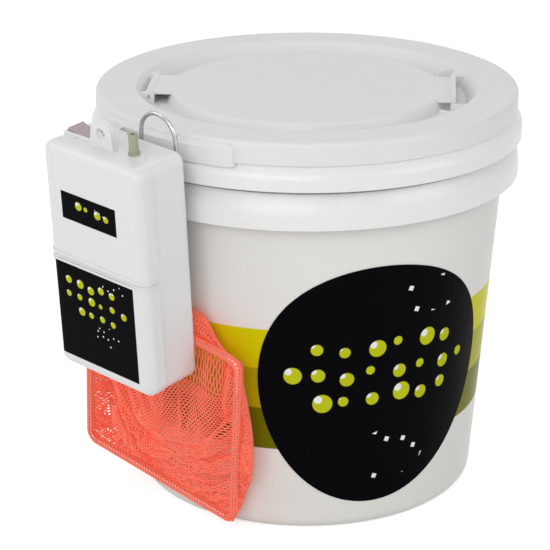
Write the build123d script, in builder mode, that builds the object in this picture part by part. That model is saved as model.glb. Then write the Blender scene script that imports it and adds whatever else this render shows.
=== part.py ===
"""Aerated bait bucket: an insulated pail with a hatch lid, a clip-on air pump and a dip net.

Millimetres, +Z up.  The origin is the centre of the face that the pail stands on.
Azimuths are in degrees about +Z, 0 at -Y and growing towards +X.
"""

import os
from math import cos, radians, sin, tan

from build123d import *

# ---------------------------------------------------------------- driving dimensions
lid_r = 150.0                # the whole pail is sized from its lid's edge

# pail
pail_wall = 2.0
pail_foot_inset = 27.9       # tapered wall inside the lid's edge, carried down to the floor
pail_taper = 0.08            # growth of radius per millimetre of height
pail_heel_r = 9.0            # rounding between wall and foot
pail_foot_ring = 5.0         # width of the ring that the pail stands on
pail_foot_h = 4.0            # height of the base panel over the floor
pail_base_t = 2.6
foot_ring_slope = 1.5        # slope inside the ring that the pail stands on
rim_bead_fillet = 1.2
rim_top_z = 288.0
rim_bead_h = 7.0
rib_t = 2.0
rib_seat_gap = 0.1           # between each rib and the wall that carries it
rib_web_count = 24
rib_web_t = 1.6
rib_web_inset = 1.0          # webs end this much inside the rib's edges
rib_web_drop = 0.5           # webs start this much under the rib's shoulder
upper_rib_top_z = 276.1
upper_rib_foot_z = 259.7
upper_rib_shoulder = 4.2     # flat top of the rib, out from the wall
upper_rib_flare = 5.1        # how far the rib's skirt spreads
lower_rib_top_z = 256.4
lower_rib_foot_z = 232.5
lower_rib_shoulder = 4.0
lower_rib_flare = 5.0
rib_lip_h = 7.0              # straight lip at the foot of each rib

# foam liner
liner_t = 13.0
liner_gap = 0.3
liner_rim_drop = 4.0         # liner top below the pail's rim
liner_fillet = 6.0

# lid
lid_top_z = 292.0
lid_t = 2.2
lid_edge_fillet = 3.0
skirt_t = 2.3
skirt_foot_z = 276.6
lid_land = 28.5              # flat ring from the lid's edge to the moat
moat_slope = 8.5             # how far the moat's slope runs inwards
moat_floor_w = 25.0
moat_depth = 10.0
moat_skew = 1.2              # underside of the moat's slope outside its top
collar_t = 2.2
collar_h = 4.0
gasket_w = 3.4
lift_tab_from = -66.0        # azimuths of the ends of the lift tab on the skirt
lift_tab_to = -19.4
lift_tab_drop = 2.4          # how far the tab reaches below the skirt
lift_tab_out = 3.2
lift_tab_corner_r = 6.0
pocket_azimuth = 86.0        # azimuth of the finger pocket
pocket_rib_t = 1.6
pocket_rib_h = 7.0
pocket_rib_l = 5.0
pocket_rib_azimuths = (57.0, 67.0, 105.0, 115.0)
lid_foam_t = 12.0
lid_foam_gap = 2.5

# hatch
hatch_lap = 8.5              # hatch top past its hole
hatch_flare = 3.0            # hatch foot past its top
hatch_drop = 2.0             # hatch top below the lid's top
hatch_t = 2.2
hatch_edge_fillet = 1.5
hatch_foam_t = 15.0
hatch_foam_gap = 2.0
tab_half_length = 30.0
tab_out = 9.0                # finger tab past the hatch's top
tab_lip_t = 2.6
tab_lip_h = 2.6
hinge_azimuth = -94.0
hinge_out = 13.5             # hinge axis past the hatch's top
hinge_pin_r = 1.5
hinge_knuckle_r = 3.6
hinge_half_width = 22.0
hinge_ear_t = 5.6
hinge_drop = 4.6             # hinge axis below the lid's top
running_gap = 0.3

# air pump, in its own plane: x to the right, y up, z away from the pail
pump_azimuth = -42.7
pump_side_shift = -8.8       # sideways from the radial line
pump_stand_off = 23.4        # from the upper rib's edge to the pump's middle
pump_mid_z = 203.2
pump_lean = 6.7              # top leans out
pump_roll = 3.25             # right side hangs low
pump_w = 91.0
pump_h = 168.0
pump_d = 44.5
pump_wall = 2.2
pump_corner_r = 8.0
cover_d = 12.7               # depth of the front covers
cover_step = 0.6             # covers stand proud of the back housing
seam_y = 0.8                 # seam between front cover and battery cover
seam_gap = 0.3
ridge_t = 1.7
ridge_out = 1.0
ridge_inset = 2.6            # ridge centre line to seam
side_bead_t = 1.4
side_bead_out = 0.7
side_bead_over_seam = 15.6
side_bead_under_seam = 7.3
side_bead_end = 8.0          # beads stop short of the pump's ends
cover_lip_t = 1.6
cover_lip_d = 4.0
fit_gap = 0.2
divider_y = -4.4
divider_t = 2.2
housing_back_fillet = 4.0
cover_edge_fillet = 6.0
eyelet_x = -4.0
eyelet_z = 4.0
eyelet_r = 9.5
eyelet_hole_r = 4.0
eyelet_rise = 9.0            # hole centre over the pump's top
eyelet_t = 4.0
eyelet_base_w = 22.5
nozzle_x = 21.0
nozzle_z = 0.5
nozzle_r = 3.3
nozzle_neck_r = 4.0           # neck through the wall
nozzle_neck_h = 1.2           # neck above the wall
nozzle_stub_r = 3.0
nozzle_bore_r = 1.7
nozzle_rise = 14.0
nozzle_flange_r = 5.4
nozzle_flange_t = 2.0
nozzle_stub = 7.0            # nozzle below the wall, inside
vent_x = 32.0
vent_r = 0.8
switch_x = -29.0
switch_z = -3.5
rocker_r = 10.8              # half length of the rocker
rocker_d = 13.5
rocker_pivot_drop = 1.0      # pivot below the housing's top
rocker_mid_h = 2.0           # rocker's valley over its pivot
rocker_foot_h = 4.0
rocker_tilt = 9.0            # each side of level
rocker_pin_r = 1.2
switch_frame = 1.3
switch_rise = 1.9
switch_floor_t = 1.2
battery_r = 17.1
battery_h = 60.0
battery_nub_r = 4.6
battery_nub_h = 1.5
battery_x = 18.6
battery_rib_t = 1.6
battery_rib_d = 14.0
battery_drop = 2.7           # cells' axis behind the pump's middle
contact_t = 0.6
contact_w = 12.0
contact_l = 20.0
leaf_top_w = 8.0
leaf_foot_w = 22.0
motor_r = 12.0
motor_l = 30.0
motor_x = -22.0
motor_drop = 54.0            # motor's axis below the pump's top
motor_z = -3.0
shaft_r = 1.0
crank_r = 6.0
crank_t = 3.0
crank_gap = 1.2
crank_throw = 1.0
shaft_grip = 4.0             # shaft inside the motor
shaft_gap = 0.2
crank_pin_r = 1.0
crank_pin_l = 4.6
rod_t = 2.6
rod_eye_r = 4.4
rod_w = 5.0
rod_gap = 0.2
rod_side_gap = 0.8
diaphragm_drop = 38.0        # diaphragm's edge below the pump's top
diaphragm_r = 11.0
diaphragm_h = 4.0
head_x = 8.0
head_w = 44.0
head_h = 16.0
head_d = 26.0
head_fillet = 2.0
nipple_l = 6.0
tube_wall = 1.2
saddle_t = 2.0
saddle_xs = (-32.0, -13.0)
saddle_w = 20.0
screw_x = 38.0
screw_over_seam = 7.7
screw_drop = 17.0            # upper screws below the pump's top
screw_r = 1.4
screw_head_r = 2.8
screw_head_t = 1.8
post_r = 3.6
screw_tip_gap = 1.0

# pump clip and the lid's hanger
clip_x = -18.5
clip_w = 14.0
clip_t = 1.0
clip_drop = 3.0              # clip's bend below the pump's top
clip_leg_h = 40.0
hook_h = 8.5
hanger_w = 22.0
hanger_seat_gap = 0.1        # between the hanger and the lift tab that carries it
hanger_t = 2.5
hanger_web_t = 2.2
hanger_reach = 18.0          # from the hanger's face back into the skirt
hanger_floor_t = 2.2
hanger_fillet = 1.5
hook_gap = 0.5               # hook over the hanger's floor
hook_side_gap = 0.25
rivet_r = 1.5
rivet_head_r = 2.4
rivet_head_t = 0.7
rivet_drops = (39.0, 32.0)   # rivets below the pump's top

# dip net, in the pump's plane turned about its normal
net_roll = 5.6
net_mid_x = 3.75
net_mid_y = -120.75
net_w = 144.0
net_h = 132.0
net_wire_r = 1.5
net_wire_gap = 0.3
net_corner_r = 7.0
handle_x = -5.0
handle_half_w = 15.9
handle_top_y = 224.5
bag_left = 76.0
bag_right = 84.0
bag_bottom = 65.0
bag_top = 80.0
bag_corner_r = 26.0
bag_wall = 1.6
bag_depth = 60.0
bag_wire_gap = 0.2
bag_pail_gap = 3.6


# ---------------------------------------------------------------- shared planes and values
pail_foot_r = lid_r - pail_foot_inset
moat_outer_r = lid_r - lid_land
moat_floor_r = moat_outer_r - moat_slope
hatch_hole_r = moat_floor_r - moat_floor_w
hatch_r = hatch_hole_r + hatch_lap
hatch_foot_r = hatch_r + hatch_flare
tab_reach = hatch_r + tab_out
hinge_reach = hatch_r + hinge_out


def wall_r(z):
    """Outer radius of the pail's tapered wall."""
    return pail_foot_r + pail_taper * z


upper_rib_root_r = wall_r(upper_rib_top_z) + upper_rib_shoulder
upper_rib_foot_r = upper_rib_root_r + upper_rib_flare
lower_rib_root_r = wall_r(lower_rib_top_z) + lower_rib_shoulder
lower_rib_foot_r = lower_rib_root_r + lower_rib_flare
pump_reach = upper_rib_foot_r + pump_stand_off


def radial_plane(azimuth, reach=0.0, z=0.0):
    """Plane that faces outwards: x to the viewer's right, y up."""
    a = radians(azimuth)
    outward = Vector(sin(a), -cos(a), 0)
    return Plane(origin=outward * reach + Vector(0, 0, z), x_dir=(cos(a), sin(a), 0), z_dir=outward)


def turned_plane(plane, lean=0.0, roll=0.0):
    """Plane leaned about its x axis, then rolled about its own normal."""
    up = plane.y_dir * cos(radians(lean)) + plane.z_dir * sin(radians(lean))
    out = plane.z_dir * cos(radians(lean)) - plane.y_dir * sin(radians(lean))
    side = plane.x_dir * cos(radians(roll)) + up * sin(radians(roll))
    return Plane(plane.origin, x_dir=side, z_dir=out)


hung_plane = radial_plane(pump_azimuth, pump_reach, pump_mid_z)
hung_plane.origin = hung_plane.from_local_coords((pump_side_shift, 0, 0))
hanger_plane = turned_plane(hung_plane, pump_lean)
pump_plane = turned_plane(hanger_plane, roll=-pump_roll)
pump_back = -pump_d / 2
pump_top = pump_h / 2
motor_y = pump_top - motor_drop
diaphragm_y = pump_top - diaphragm_drop
screw_ys = (seam_y + screw_over_seam, pump_top - screw_drop)
rivet_ys = [pump_top - drop for drop in rivet_drops]
cover_back = pump_d / 2 - cover_d
housing_w = pump_w - 2 * cover_step
housing_h = pump_h - 2 * cover_step
cavity_back = pump_back + pump_wall
lid_under = lid_top_z - lid_t
moat_floor_z = lid_top_z - moat_depth
moat_under_z = moat_floor_z - lid_t
hatch_top = lid_top_z - hatch_drop
hatch_under = hatch_top - hatch_t
hinge_z = lid_top_z - hinge_drop
skirt_in_r = lid_r - skirt_t


def pump_face(depth):
    """Plane parallel to the pump's front at a depth: x right, y up."""
    return pump_plane.offset(depth)


def pump_level(y):
    """Plane across the pump at a height: x right, y towards the pail."""
    return Plane(pump_plane.from_local_coords((0, y, 0)), x_dir=pump_plane.x_dir, z_dir=pump_plane.y_dir)


def pump_side(x):
    """Plane across the pump at a distance from its middle: x up, y away from the pail."""
    return Plane(pump_plane.from_local_coords((x, 0, 0)), x_dir=pump_plane.y_dir, z_dir=pump_plane.x_dir)


# ---------------------------------------------------------------- pail
def rib_outline(top_z, foot_z, root_r, foot_r, inset):
    """Half section of a stacking rib: a shoulder, a flared skirt and a straight lip."""
    low = foot_z - inset
    with BuildLine() as outline:
        shoulder = Line((wall_r(top_z - inset) + rib_seat_gap, top_z - inset), (root_r - inset, top_z - inset))
        flare = Spline(
            shoulder @ 1, (foot_r - inset, foot_z + rib_lip_h), tangents=[(0.5, -1), (0, -1)]
        )
        lip = Line(flare @ 1, (foot_r - inset, low))
        Polyline(lip @ 1, (wall_r(low) + rib_seat_gap, low), shoulder @ 0)
    return outline.line


bead_r = lid_r - skirt_t - running_gap
foot_in_r = pail_foot_r - pail_heel_r - pail_foot_ring

with BuildPart() as bucket_shell:
    with BuildSketch(Plane.XZ):
        with BuildLine():
            Polyline(
                (0, pail_foot_h),
                (foot_in_r, pail_foot_h),
                (foot_in_r + foot_ring_slope, 0),
                (pail_foot_r, 0),
                (wall_r(rim_top_z), rim_top_z),
                (wall_r(rim_top_z) - pail_wall, rim_top_z),
                (wall_r(pail_foot_h + pail_base_t) - pail_wall, pail_foot_h + pail_base_t),
                (0, pail_foot_h + pail_base_t),
                close=True,
            )
        make_face()
        with Locations((bead_r, rim_top_z)):
            Rectangle(bead_r - wall_r(rim_top_z) + pail_wall / 2, rim_bead_h, align=(Align.MAX, Align.MAX))
    revolve(axis=Axis.Z)
    heel = bucket_shell.edges().filter_by(GeomType.CIRCLE).filter_by(lambda e: abs(e.radius - pail_foot_r) < 0.01)
    fillet(heel, pail_heel_r)
    beads = bucket_shell.edges().filter_by(GeomType.CIRCLE).filter_by(lambda e: abs(e.radius - bead_r) < 0.01)
    fillet(beads, rim_bead_fillet)
bucket_shell.part.label = "bucket_shell"

ribs = []
for name, top_z, foot_z, root_r, foot_r in (
    ("upper_stacking_rib", upper_rib_top_z, upper_rib_foot_z, upper_rib_root_r, upper_rib_foot_r),
    ("lower_stacking_rib", lower_rib_top_z, lower_rib_foot_z, lower_rib_root_r, lower_rib_foot_r),
):
    web_top = top_z - rib_t - rib_web_drop
    with BuildPart() as rib:
        with BuildSketch(Plane.XZ):
            with BuildLine():
                add(rib_outline(top_z, foot_z, root_r, foot_r, 0))
            make_face()
            with BuildLine():
                add(rib_outline(top_z, foot_z, root_r, foot_r, rib_t))
            make_face(mode=Mode.SUBTRACT)
        revolve(axis=Axis.Z)
        with BuildSketch(Plane.XZ.offset(-rib_web_t / 2)):
            with BuildLine():
                Polyline(
                    (wall_r(web_top) + rib_seat_gap, web_top),
                    (root_r - rib_t / 2 - rib_web_inset, web_top),
                    (foot_r - rib_t / 2, foot_z + rib_lip_h),
                    (foot_r - rib_t / 2, foot_z + rib_web_inset),
                    (wall_r(foot_z + rib_web_inset) + rib_seat_gap, foot_z + rib_web_inset),
                    close=True,
                )
            make_face()
        one_web = extrude(amount=rib_web_t, mode=Mode.PRIVATE)
        with PolarLocations(0, rib_web_count, start_angle=180 / rib_web_count):
            add(one_web)
    rib.part.label = name
    ribs.append(rib)


def liner_r(z):
    """Outer radius of the foam liner."""
    return wall_r(z) - pail_wall - liner_gap


liner_foot_z = pail_foot_h + pail_base_t
liner_top_z = rim_top_z - liner_rim_drop

with BuildPart() as foam_liner:
    with BuildSketch(Plane.XZ) as liner_section:
        with BuildLine():
            Polyline(
                (0, liner_foot_z),
                (liner_r(liner_foot_z), liner_foot_z),
                (liner_r(liner_top_z), liner_top_z),
                (liner_r(liner_top_z) - liner_t, liner_top_z),
                (liner_r(liner_foot_z + liner_t) - liner_t, liner_foot_z + liner_t),
                (0, liner_foot_z + liner_t),
                close=True,
            )
        make_face()
    revolve(axis=Axis.Z)
    floor_edge = foam_liner.edges().filter_by(GeomType.CIRCLE).group_by(Axis.Z)[1]
    fillet(floor_edge, liner_fillet)
foam_liner.part.label = "foam_liner"

# ---------------------------------------------------------------- clip and hanger sizes
hook_outer_y = pump_top - clip_drop
hook_leg_z = pump_back - clip_t / 2
hanger_face_z = pump_back - clip_t - hook_side_gap
hanger_back_z = hanger_face_z - hanger_t
hook_tongue_z = hanger_back_z - hook_side_gap - clip_t / 2
hook_bend_r = (hook_leg_z - hook_tongue_z) / 2
hook_bend_y = hook_outer_y - clip_t / 2 - hook_bend_r


def on_hanger(x, y):
    """Place of a point of the pump's plane in the plane that leans but doesn't roll."""
    return hanger_plane.to_local_coords(pump_plane.from_local_coords((x, y, 0)))


hanger_x = on_hanger(clip_x, hook_bend_y).X
hanger_top_y = on_hanger(clip_x + clip_w / 2, hook_bend_y).Y - running_gap
hanger_floor_y = on_hanger(clip_x + clip_w / 2, hook_bend_y - hook_h).Y - hook_gap
tab_r = lid_r + lift_tab_out
lip_in_r = lid_r + running_gap

# ---------------------------------------------------------------- lid
tab_face = radial_plane((lift_tab_from + lift_tab_to) / 2)
tab_width = 2 * tab_r * sin(radians(lift_tab_to - lift_tab_from) / 2)

with BuildPart() as lift_tab:
    with BuildSketch(Plane.XZ):
        with BuildLine():
            Polyline(
                (lid_r - skirt_t / 2, lid_top_z - lid_edge_fillet),
                (lid_r + lift_tab_out / 3, lid_top_z - lid_edge_fillet),
                (tab_r, lid_top_z - 2 * lid_edge_fillet),
                (tab_r, skirt_foot_z - lift_tab_drop),
                (lip_in_r, skirt_foot_z - lift_tab_drop),
                (lip_in_r, skirt_foot_z),
                (lid_r - skirt_t / 2, skirt_foot_z),
                close=True,
            )
        make_face()
    revolve(axis=Axis.Z)
    with BuildSketch(tab_face):
        with Locations((0, skirt_foot_z - lift_tab_drop)):
            RectangleRounded(
                tab_width,
                2 * (lid_top_z - lid_edge_fillet - skirt_foot_z + lift_tab_drop),
                lift_tab_corner_r,
            )
    extrude(amount=2 * lid_r, mode=Mode.INTERSECT)

with BuildPart() as pump_hanger:
    with BuildSketch(hanger_plane.offset(hanger_face_z)):
        with Locations((hanger_x, hanger_top_y)):
            Rectangle(hanger_w, hanger_top_y - hanger_floor_y + hanger_floor_t, align=(Align.CENTER, Align.MAX))
    extrude(amount=-hanger_reach)
    front_corners = pump_hanger.edges().filter_by(Axis((0, 0, 0), hanger_plane.y_dir)).sort_by(
        Axis((0, 0, 0), hanger_plane.z_dir)
    )[-2:]
    fillet(front_corners, hanger_fillet)
    with BuildSketch(hanger_plane.offset(hanger_back_z)):
        with Locations((hanger_x, hanger_floor_y)):
            Rectangle(hanger_w - 2 * hanger_web_t, hanger_reach, align=(Align.CENTER, Align.MIN))
    extrude(amount=-hanger_reach, mode=Mode.SUBTRACT)
    with BuildSketch(Plane.XZ):
        with BuildLine():
            Polyline(
                (0, 0),
                (tab_r + hanger_seat_gap, 0),
                (tab_r + hanger_seat_gap, lid_top_z),
                (0, lid_top_z),
                close=True,
            )
        make_face()
    revolve(axis=Axis.Z, mode=Mode.SUBTRACT)
pump_hanger.part.label = "pump_hanger"

hinge_plane = radial_plane(hinge_azimuth, hinge_reach, hinge_z)
ear_start = hinge_half_width + running_gap
knuckle_plane = Plane(hinge_plane.origin, x_dir=hinge_plane.z_dir, z_dir=-hinge_plane.x_dir)

with BuildPart() as hinge_ear:
    with BuildSketch(knuckle_plane.offset(ear_start)):
        Circle(hinge_knuckle_r)
        with BuildLine():
            Polyline(
                (-hinge_knuckle_r, 0),
                (-hinge_knuckle_r, moat_floor_z - lid_t / 2 - hinge_z),
                (0, moat_floor_z - lid_t / 2 - hinge_z),
                (2 * hinge_knuckle_r, hinge_knuckle_r / 2),
                (0, hinge_knuckle_r),
                close=True,
            )
        make_face()
        Circle(hinge_pin_r, mode=Mode.SUBTRACT)
    extrude(amount=hinge_ear_t)

with BuildPart() as pocket_rib:
    with BuildSketch(radial_plane(0, moat_floor_r - pocket_rib_l, moat_floor_z - lid_t / 2)):
        Rectangle(pocket_rib_t, pocket_rib_h + lid_t / 2, align=(Align.CENTER, Align.MIN))
    extrude(amount=2 * pocket_rib_l)

with BuildPart() as lid:
    with BuildSketch(Plane.XZ) as lid_section:
        with BuildLine():
            Polyline(
                (skirt_in_r, skirt_foot_z),
                (lid_r, skirt_foot_z),
                (lid_r, lid_top_z),
                (moat_outer_r, lid_top_z),
                (moat_floor_r, moat_floor_z),
                (hatch_hole_r + collar_t, moat_floor_z),
                (hatch_hole_r + collar_t, moat_floor_z + collar_h),
                (hatch_hole_r, moat_floor_z + collar_h),
                (hatch_hole_r, moat_under_z),
                (moat_floor_r + moat_skew, moat_under_z),
                (moat_outer_r + moat_skew, lid_under),
                (skirt_in_r, lid_under),
                close=True,
            )
        make_face()
        rim_corner = lid_section.vertices().filter_by(lambda v: v.X > lid_r - 0.1).sort_by(Axis.Y)[-1]
        fillet(rim_corner, lid_edge_fillet)
        moat_lip = lid_section.vertices().filter_by(
            lambda v: abs(v.X - moat_outer_r) < 0.1 and v.Y > lid_under + 0.1
        )
        fillet(moat_lip, moat_skew)
    revolve(axis=Axis.Z)
    add(lift_tab.part)
    add(hinge_ear.part)
    mirror(hinge_ear.part, about=Plane(knuckle_plane.origin, z_dir=knuckle_plane.z_dir))
    for azimuth in pocket_rib_azimuths:
        add(pocket_rib.part.rotate(Axis.Z, azimuth))
lid.part.label = "lid"

gasket_in_r = wall_r(rim_top_z) - pail_wall

with BuildPart() as rim_gasket:
    with BuildSketch(Plane.XY.offset(rim_top_z)):
        Circle(gasket_in_r + gasket_w)
        Circle(gasket_in_r, mode=Mode.SUBTRACT)
    extrude(amount=lid_under - rim_top_z)
rim_gasket.part.label = "rim_gasket"

lid_foam_foot_z = moat_under_z - lid_foam_t

with BuildPart() as lid_insulation:
    with BuildSketch(Plane.XY.offset(lid_foam_foot_z)):
        Circle(liner_r(lid_foam_foot_z) - liner_t - lid_foam_gap)
        Circle(hatch_hole_r + hatch_foam_gap, mode=Mode.SUBTRACT)
    extrude(amount=lid_foam_t)
lid_insulation.part.label = "lid_insulation"

with BuildPart() as hinge_pin:
    with BuildSketch(knuckle_plane.offset(-ear_start - hinge_ear_t)):
        Circle(hinge_pin_r)
    extrude(amount=2 * (ear_start + hinge_ear_t))
hinge_pin.part.label = "hinge_pin"

# ---------------------------------------------------------------- hatch
tab_face_plane = radial_plane(pocket_azimuth, 0, 0)
tab_top_plane = Plane((0, 0, hatch_under), x_dir=tab_face_plane.x_dir, z_dir=(0, 0, 1))
strap_plane = Plane((0, 0, hatch_under), x_dir=hinge_plane.x_dir, z_dir=(0, 0, 1))

with BuildPart() as hatch:
    with BuildSketch(Plane.XZ) as hatch_section:
        with BuildLine():
            Polyline(
                (0, hatch_under),
                (0, hatch_top),
                (hatch_r, hatch_top),
                (hatch_foot_r, moat_floor_z),
                (hatch_foot_r - hatch_t, moat_floor_z),
                (hatch_r - hatch_t, hatch_under),
                close=True,
            )
        make_face()
        top_corner = hatch_section.vertices().filter_by(lambda v: abs(v.X - hatch_r) < 0.1)
        fillet(top_corner, hatch_edge_fillet)
    revolve(axis=Axis.Z)
    with BuildSketch(tab_top_plane):
        with Locations((0, -tab_reach)):
            Rectangle(2 * tab_half_length, tab_reach - hatch_r + 2 * hatch_t, align=(Align.CENTER, Align.MIN))
    extrude(amount=hatch_t)
    with BuildSketch(tab_top_plane):
        with Locations((0, -tab_reach)):
            Rectangle(2 * tab_half_length, tab_lip_t, align=(Align.CENTER, Align.MIN))
    extrude(amount=hatch_t + tab_lip_h)
    with BuildSketch(strap_plane):
        with Locations((0, -hinge_reach)):
            Rectangle(2 * hinge_half_width, hinge_reach - hatch_r + 2 * hatch_t, align=(Align.CENTER, Align.MIN))
    extrude(amount=hatch_t)
    with BuildSketch(knuckle_plane.offset(-hinge_half_width)):
        Circle(hinge_knuckle_r)
    extrude(amount=2 * hinge_half_width)
    with BuildSketch(knuckle_plane.offset(-hinge_half_width)):
        Circle(hinge_pin_r + running_gap)
    extrude(amount=2 * hinge_half_width, mode=Mode.SUBTRACT)
hatch.part.label = "hatch"

with BuildPart() as hatch_insulation:
    with BuildSketch(Plane.XY.offset(hatch_under - hatch_foam_t)):
        Circle(hatch_hole_r - hatch_foam_gap)
    extrude(amount=hatch_foam_t)
    foam_foot = hatch_insulation.edges().group_by(Axis.Z)[0]
    chamfer(foam_foot, hatch_foam_gap)
hatch_insulation.part.label = "hatch_insulation"

# ---------------------------------------------------------------- air pump: sizes that its pieces share
cavity_w = housing_w - 2 * pump_wall
cavity_h = housing_h - 2 * pump_wall
housing_top = housing_h / 2
housing_foot = -housing_h / 2
cavity_foot = housing_foot + pump_wall
divider_top = divider_y + divider_t / 2
divider_foot = divider_y - divider_t / 2
cover_front = pump_d / 2
cover_in_front = cover_front - pump_wall
front_cover_foot = seam_y + seam_gap / 2
door_top = seam_y - seam_gap / 2
lap_front = cover_in_front - running_gap
lap_back = lap_front - cover_lip_t
lip_x = cavity_w / 2 - fit_gap
pivot_y = housing_top - rocker_pivot_drop
switch_in_w = 2 * (rocker_r + running_gap)
switch_in_d = rocker_d + 2 * running_gap
switch_w = switch_in_w + 2 * switch_frame
switch_d = switch_in_d + 2 * switch_frame
rocker_sweep = rocker_foot_h + rocker_r * sin(radians(rocker_tilt))
switch_floor = pivot_y - rocker_sweep - running_gap
switch_foot = switch_floor - switch_floor_t
battery_z = -battery_drop
terminal_foot = divider_foot - contact_t
battery_foot = terminal_foot - battery_nub_h - battery_h
motor_face_x = motor_x + motor_l / 2
crank_x = motor_face_x + crank_gap
rod_x = crank_x + crank_t + rod_side_gap
diaphragm_x = rod_x + rod_t / 2
head_foot = diaphragm_y + diaphragm_h
head_back = motor_z - head_d / 2
nozzle_foot = housing_top - pump_wall - nozzle_flange_t - nozzle_stub
nipple_top = head_foot + head_h + nipple_l
screw_places = [(side * screw_x, y) for side in (-1, 1) for y in screw_ys]
screw_tip = cover_in_front - screw_tip_gap
screw_hole_r = screw_r + fit_gap / 2


def front_outline(foot, top, inset=0.0):
    """Face of a front cover between two heights, drawn in at its sides."""
    with Locations((0, foot)):
        Rectangle(pump_w - 2 * inset, top - foot, align=(Align.CENTER, Align.MIN))


def add_ridge(y):
    """Ridge across the front and both sides of a cover."""
    with BuildSketch(pump_level(y - ridge_t / 2)) as ridge:
        with Locations((0, -cover_back)):
            Rectangle(pump_w + 2 * ridge_out, cover_d + ridge_out, align=(Align.CENTER, Align.MAX))
        front_corners = ridge.vertices().group_by(Axis.Y)[0]
        fillet(front_corners, cover_edge_fillet + ridge_out)
    extrude(ridge.sketch, amount=ridge_t)


def add_side_beads(foot, top):
    """Upright bead on each side of a cover, along its back edge."""
    with BuildSketch(pump_face(cover_back)) as beads:
        with Locations((0, (foot + top) / 2)):
            Rectangle(pump_w + 2 * side_bead_out, top - foot)
    extrude(beads.sketch, amount=side_bead_t)


# ---------------------------------------------------------------- air pump: back housing
with BuildPart() as pump_back_housing:
    with BuildSketch(pump_face(pump_back)):
        RectangleRounded(housing_w, housing_h, pump_corner_r - cover_step)
    extrude(amount=cover_back - pump_back)
    back_edges = pump_back_housing.faces().sort_by(Axis((0, 0, 0), pump_plane.z_dir))[0].edges()
    fillet(back_edges, housing_back_fillet)
    with BuildSketch(pump_face(cavity_back)):
        RectangleRounded(cavity_w, cavity_h, pump_corner_r - cover_step - pump_wall)
    extrude(amount=pump_d, mode=Mode.SUBTRACT)
    # shelf between the pump and the cells, out to the cover's lap
    with BuildSketch(pump_face(cavity_back)):
        with Locations((0, divider_y)):
            Rectangle(cavity_w, divider_t)
    extrude(amount=cover_back - cavity_back)
    with BuildSketch(pump_face(cover_back)):
        with Locations((0, divider_y)):
            Rectangle(pump_w - 2 * cover_edge_fillet, divider_t)
    extrude(amount=lap_back - cover_back)
    # rib between the cells
    with BuildSketch(pump_face(cavity_back)):
        with Locations((0, divider_foot)):
            Rectangle(
                battery_rib_t,
                divider_foot - cavity_foot - contact_t - running_gap,
                align=(Align.CENTER, Align.MAX),
            )
    extrude(amount=battery_rib_d)
    # saddles for the motor and posts for the pump head
    for x in saddle_xs:
        with BuildSketch(pump_side(x)):
            with Locations((motor_y, cavity_back)):
                Rectangle(saddle_w, motor_z - motor_r / 2 - cavity_back, align=(Align.CENTER, Align.MIN))
            with Locations((motor_y, motor_z)):
                Circle(motor_r + fit_gap / 2, mode=Mode.SUBTRACT)
        extrude(amount=saddle_t)
    with BuildSketch(pump_face(cavity_back)):
        with Locations((head_x - head_w / 3, head_foot + head_h / 2), (head_x + head_w / 3, head_foot + head_h / 2)):
            Circle(post_r)
    extrude(amount=head_back - cavity_back)
    # screw posts
    with BuildSketch(pump_face(cavity_back)):
        with Locations(screw_places):
            Circle(post_r)
    extrude(amount=cover_back - cavity_back)
    with BuildSketch(pump_face(pump_back)):
        with Locations(screw_places):
            Circle(screw_hole_r)
    extrude(amount=cover_back - pump_back, mode=Mode.SUBTRACT)
    with BuildSketch(pump_face(pump_back)):
        with Locations(screw_places):
            Circle(screw_head_r + fit_gap / 2)
    extrude(amount=screw_head_t, mode=Mode.SUBTRACT)
    # rivet holes
    with BuildSketch(pump_face(pump_back)):
        with Locations([(clip_x, y) for y in rivet_ys]):
            Circle(rivet_r + fit_gap / 2)
    extrude(amount=pump_wall, mode=Mode.SUBTRACT)
    # openings in the top for the switch, the nozzle and the vent
    with BuildSketch(pump_level(housing_top - 2 * pump_wall)):
        with Locations((switch_x, -switch_z)):
            Rectangle(switch_w + fit_gap, switch_d + fit_gap)
        with Locations((nozzle_x, -nozzle_z)):
            Circle(nozzle_neck_r + fit_gap / 2)
        with Locations((vent_x, -nozzle_z)):
            Circle(vent_r)
    extrude(amount=3 * pump_wall, mode=Mode.SUBTRACT)
    # slots that let the battery door's lips pass
    with BuildSketch(pump_level(housing_foot)):
        for side in (-1, 1):
            with Locations((side * (lip_x - cover_lip_t / 2), -cover_back)):
                Rectangle(
                    cover_lip_t + 2 * running_gap, cover_lip_d + running_gap, align=(Align.CENTER, Align.MIN)
                )
    extrude(amount=pump_wall + pump_corner_r, mode=Mode.SUBTRACT)
    # hanging eye
    with BuildSketch(pump_face(eyelet_z - eyelet_t / 2)) as eye:
        with Locations((eyelet_x, pump_top + eyelet_rise)):
            Circle(eyelet_r)
        with Locations((eyelet_x, housing_top)):
            Rectangle(eyelet_base_w, pump_wall, align=(Align.CENTER, Align.MAX))
        make_hull()
        with Locations((eyelet_x, pump_top + eyelet_rise)):
            Circle(eyelet_hole_r, mode=Mode.SUBTRACT)
    extrude(amount=eyelet_t)
pump_back_housing.part.label = "pump_back_housing"

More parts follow.
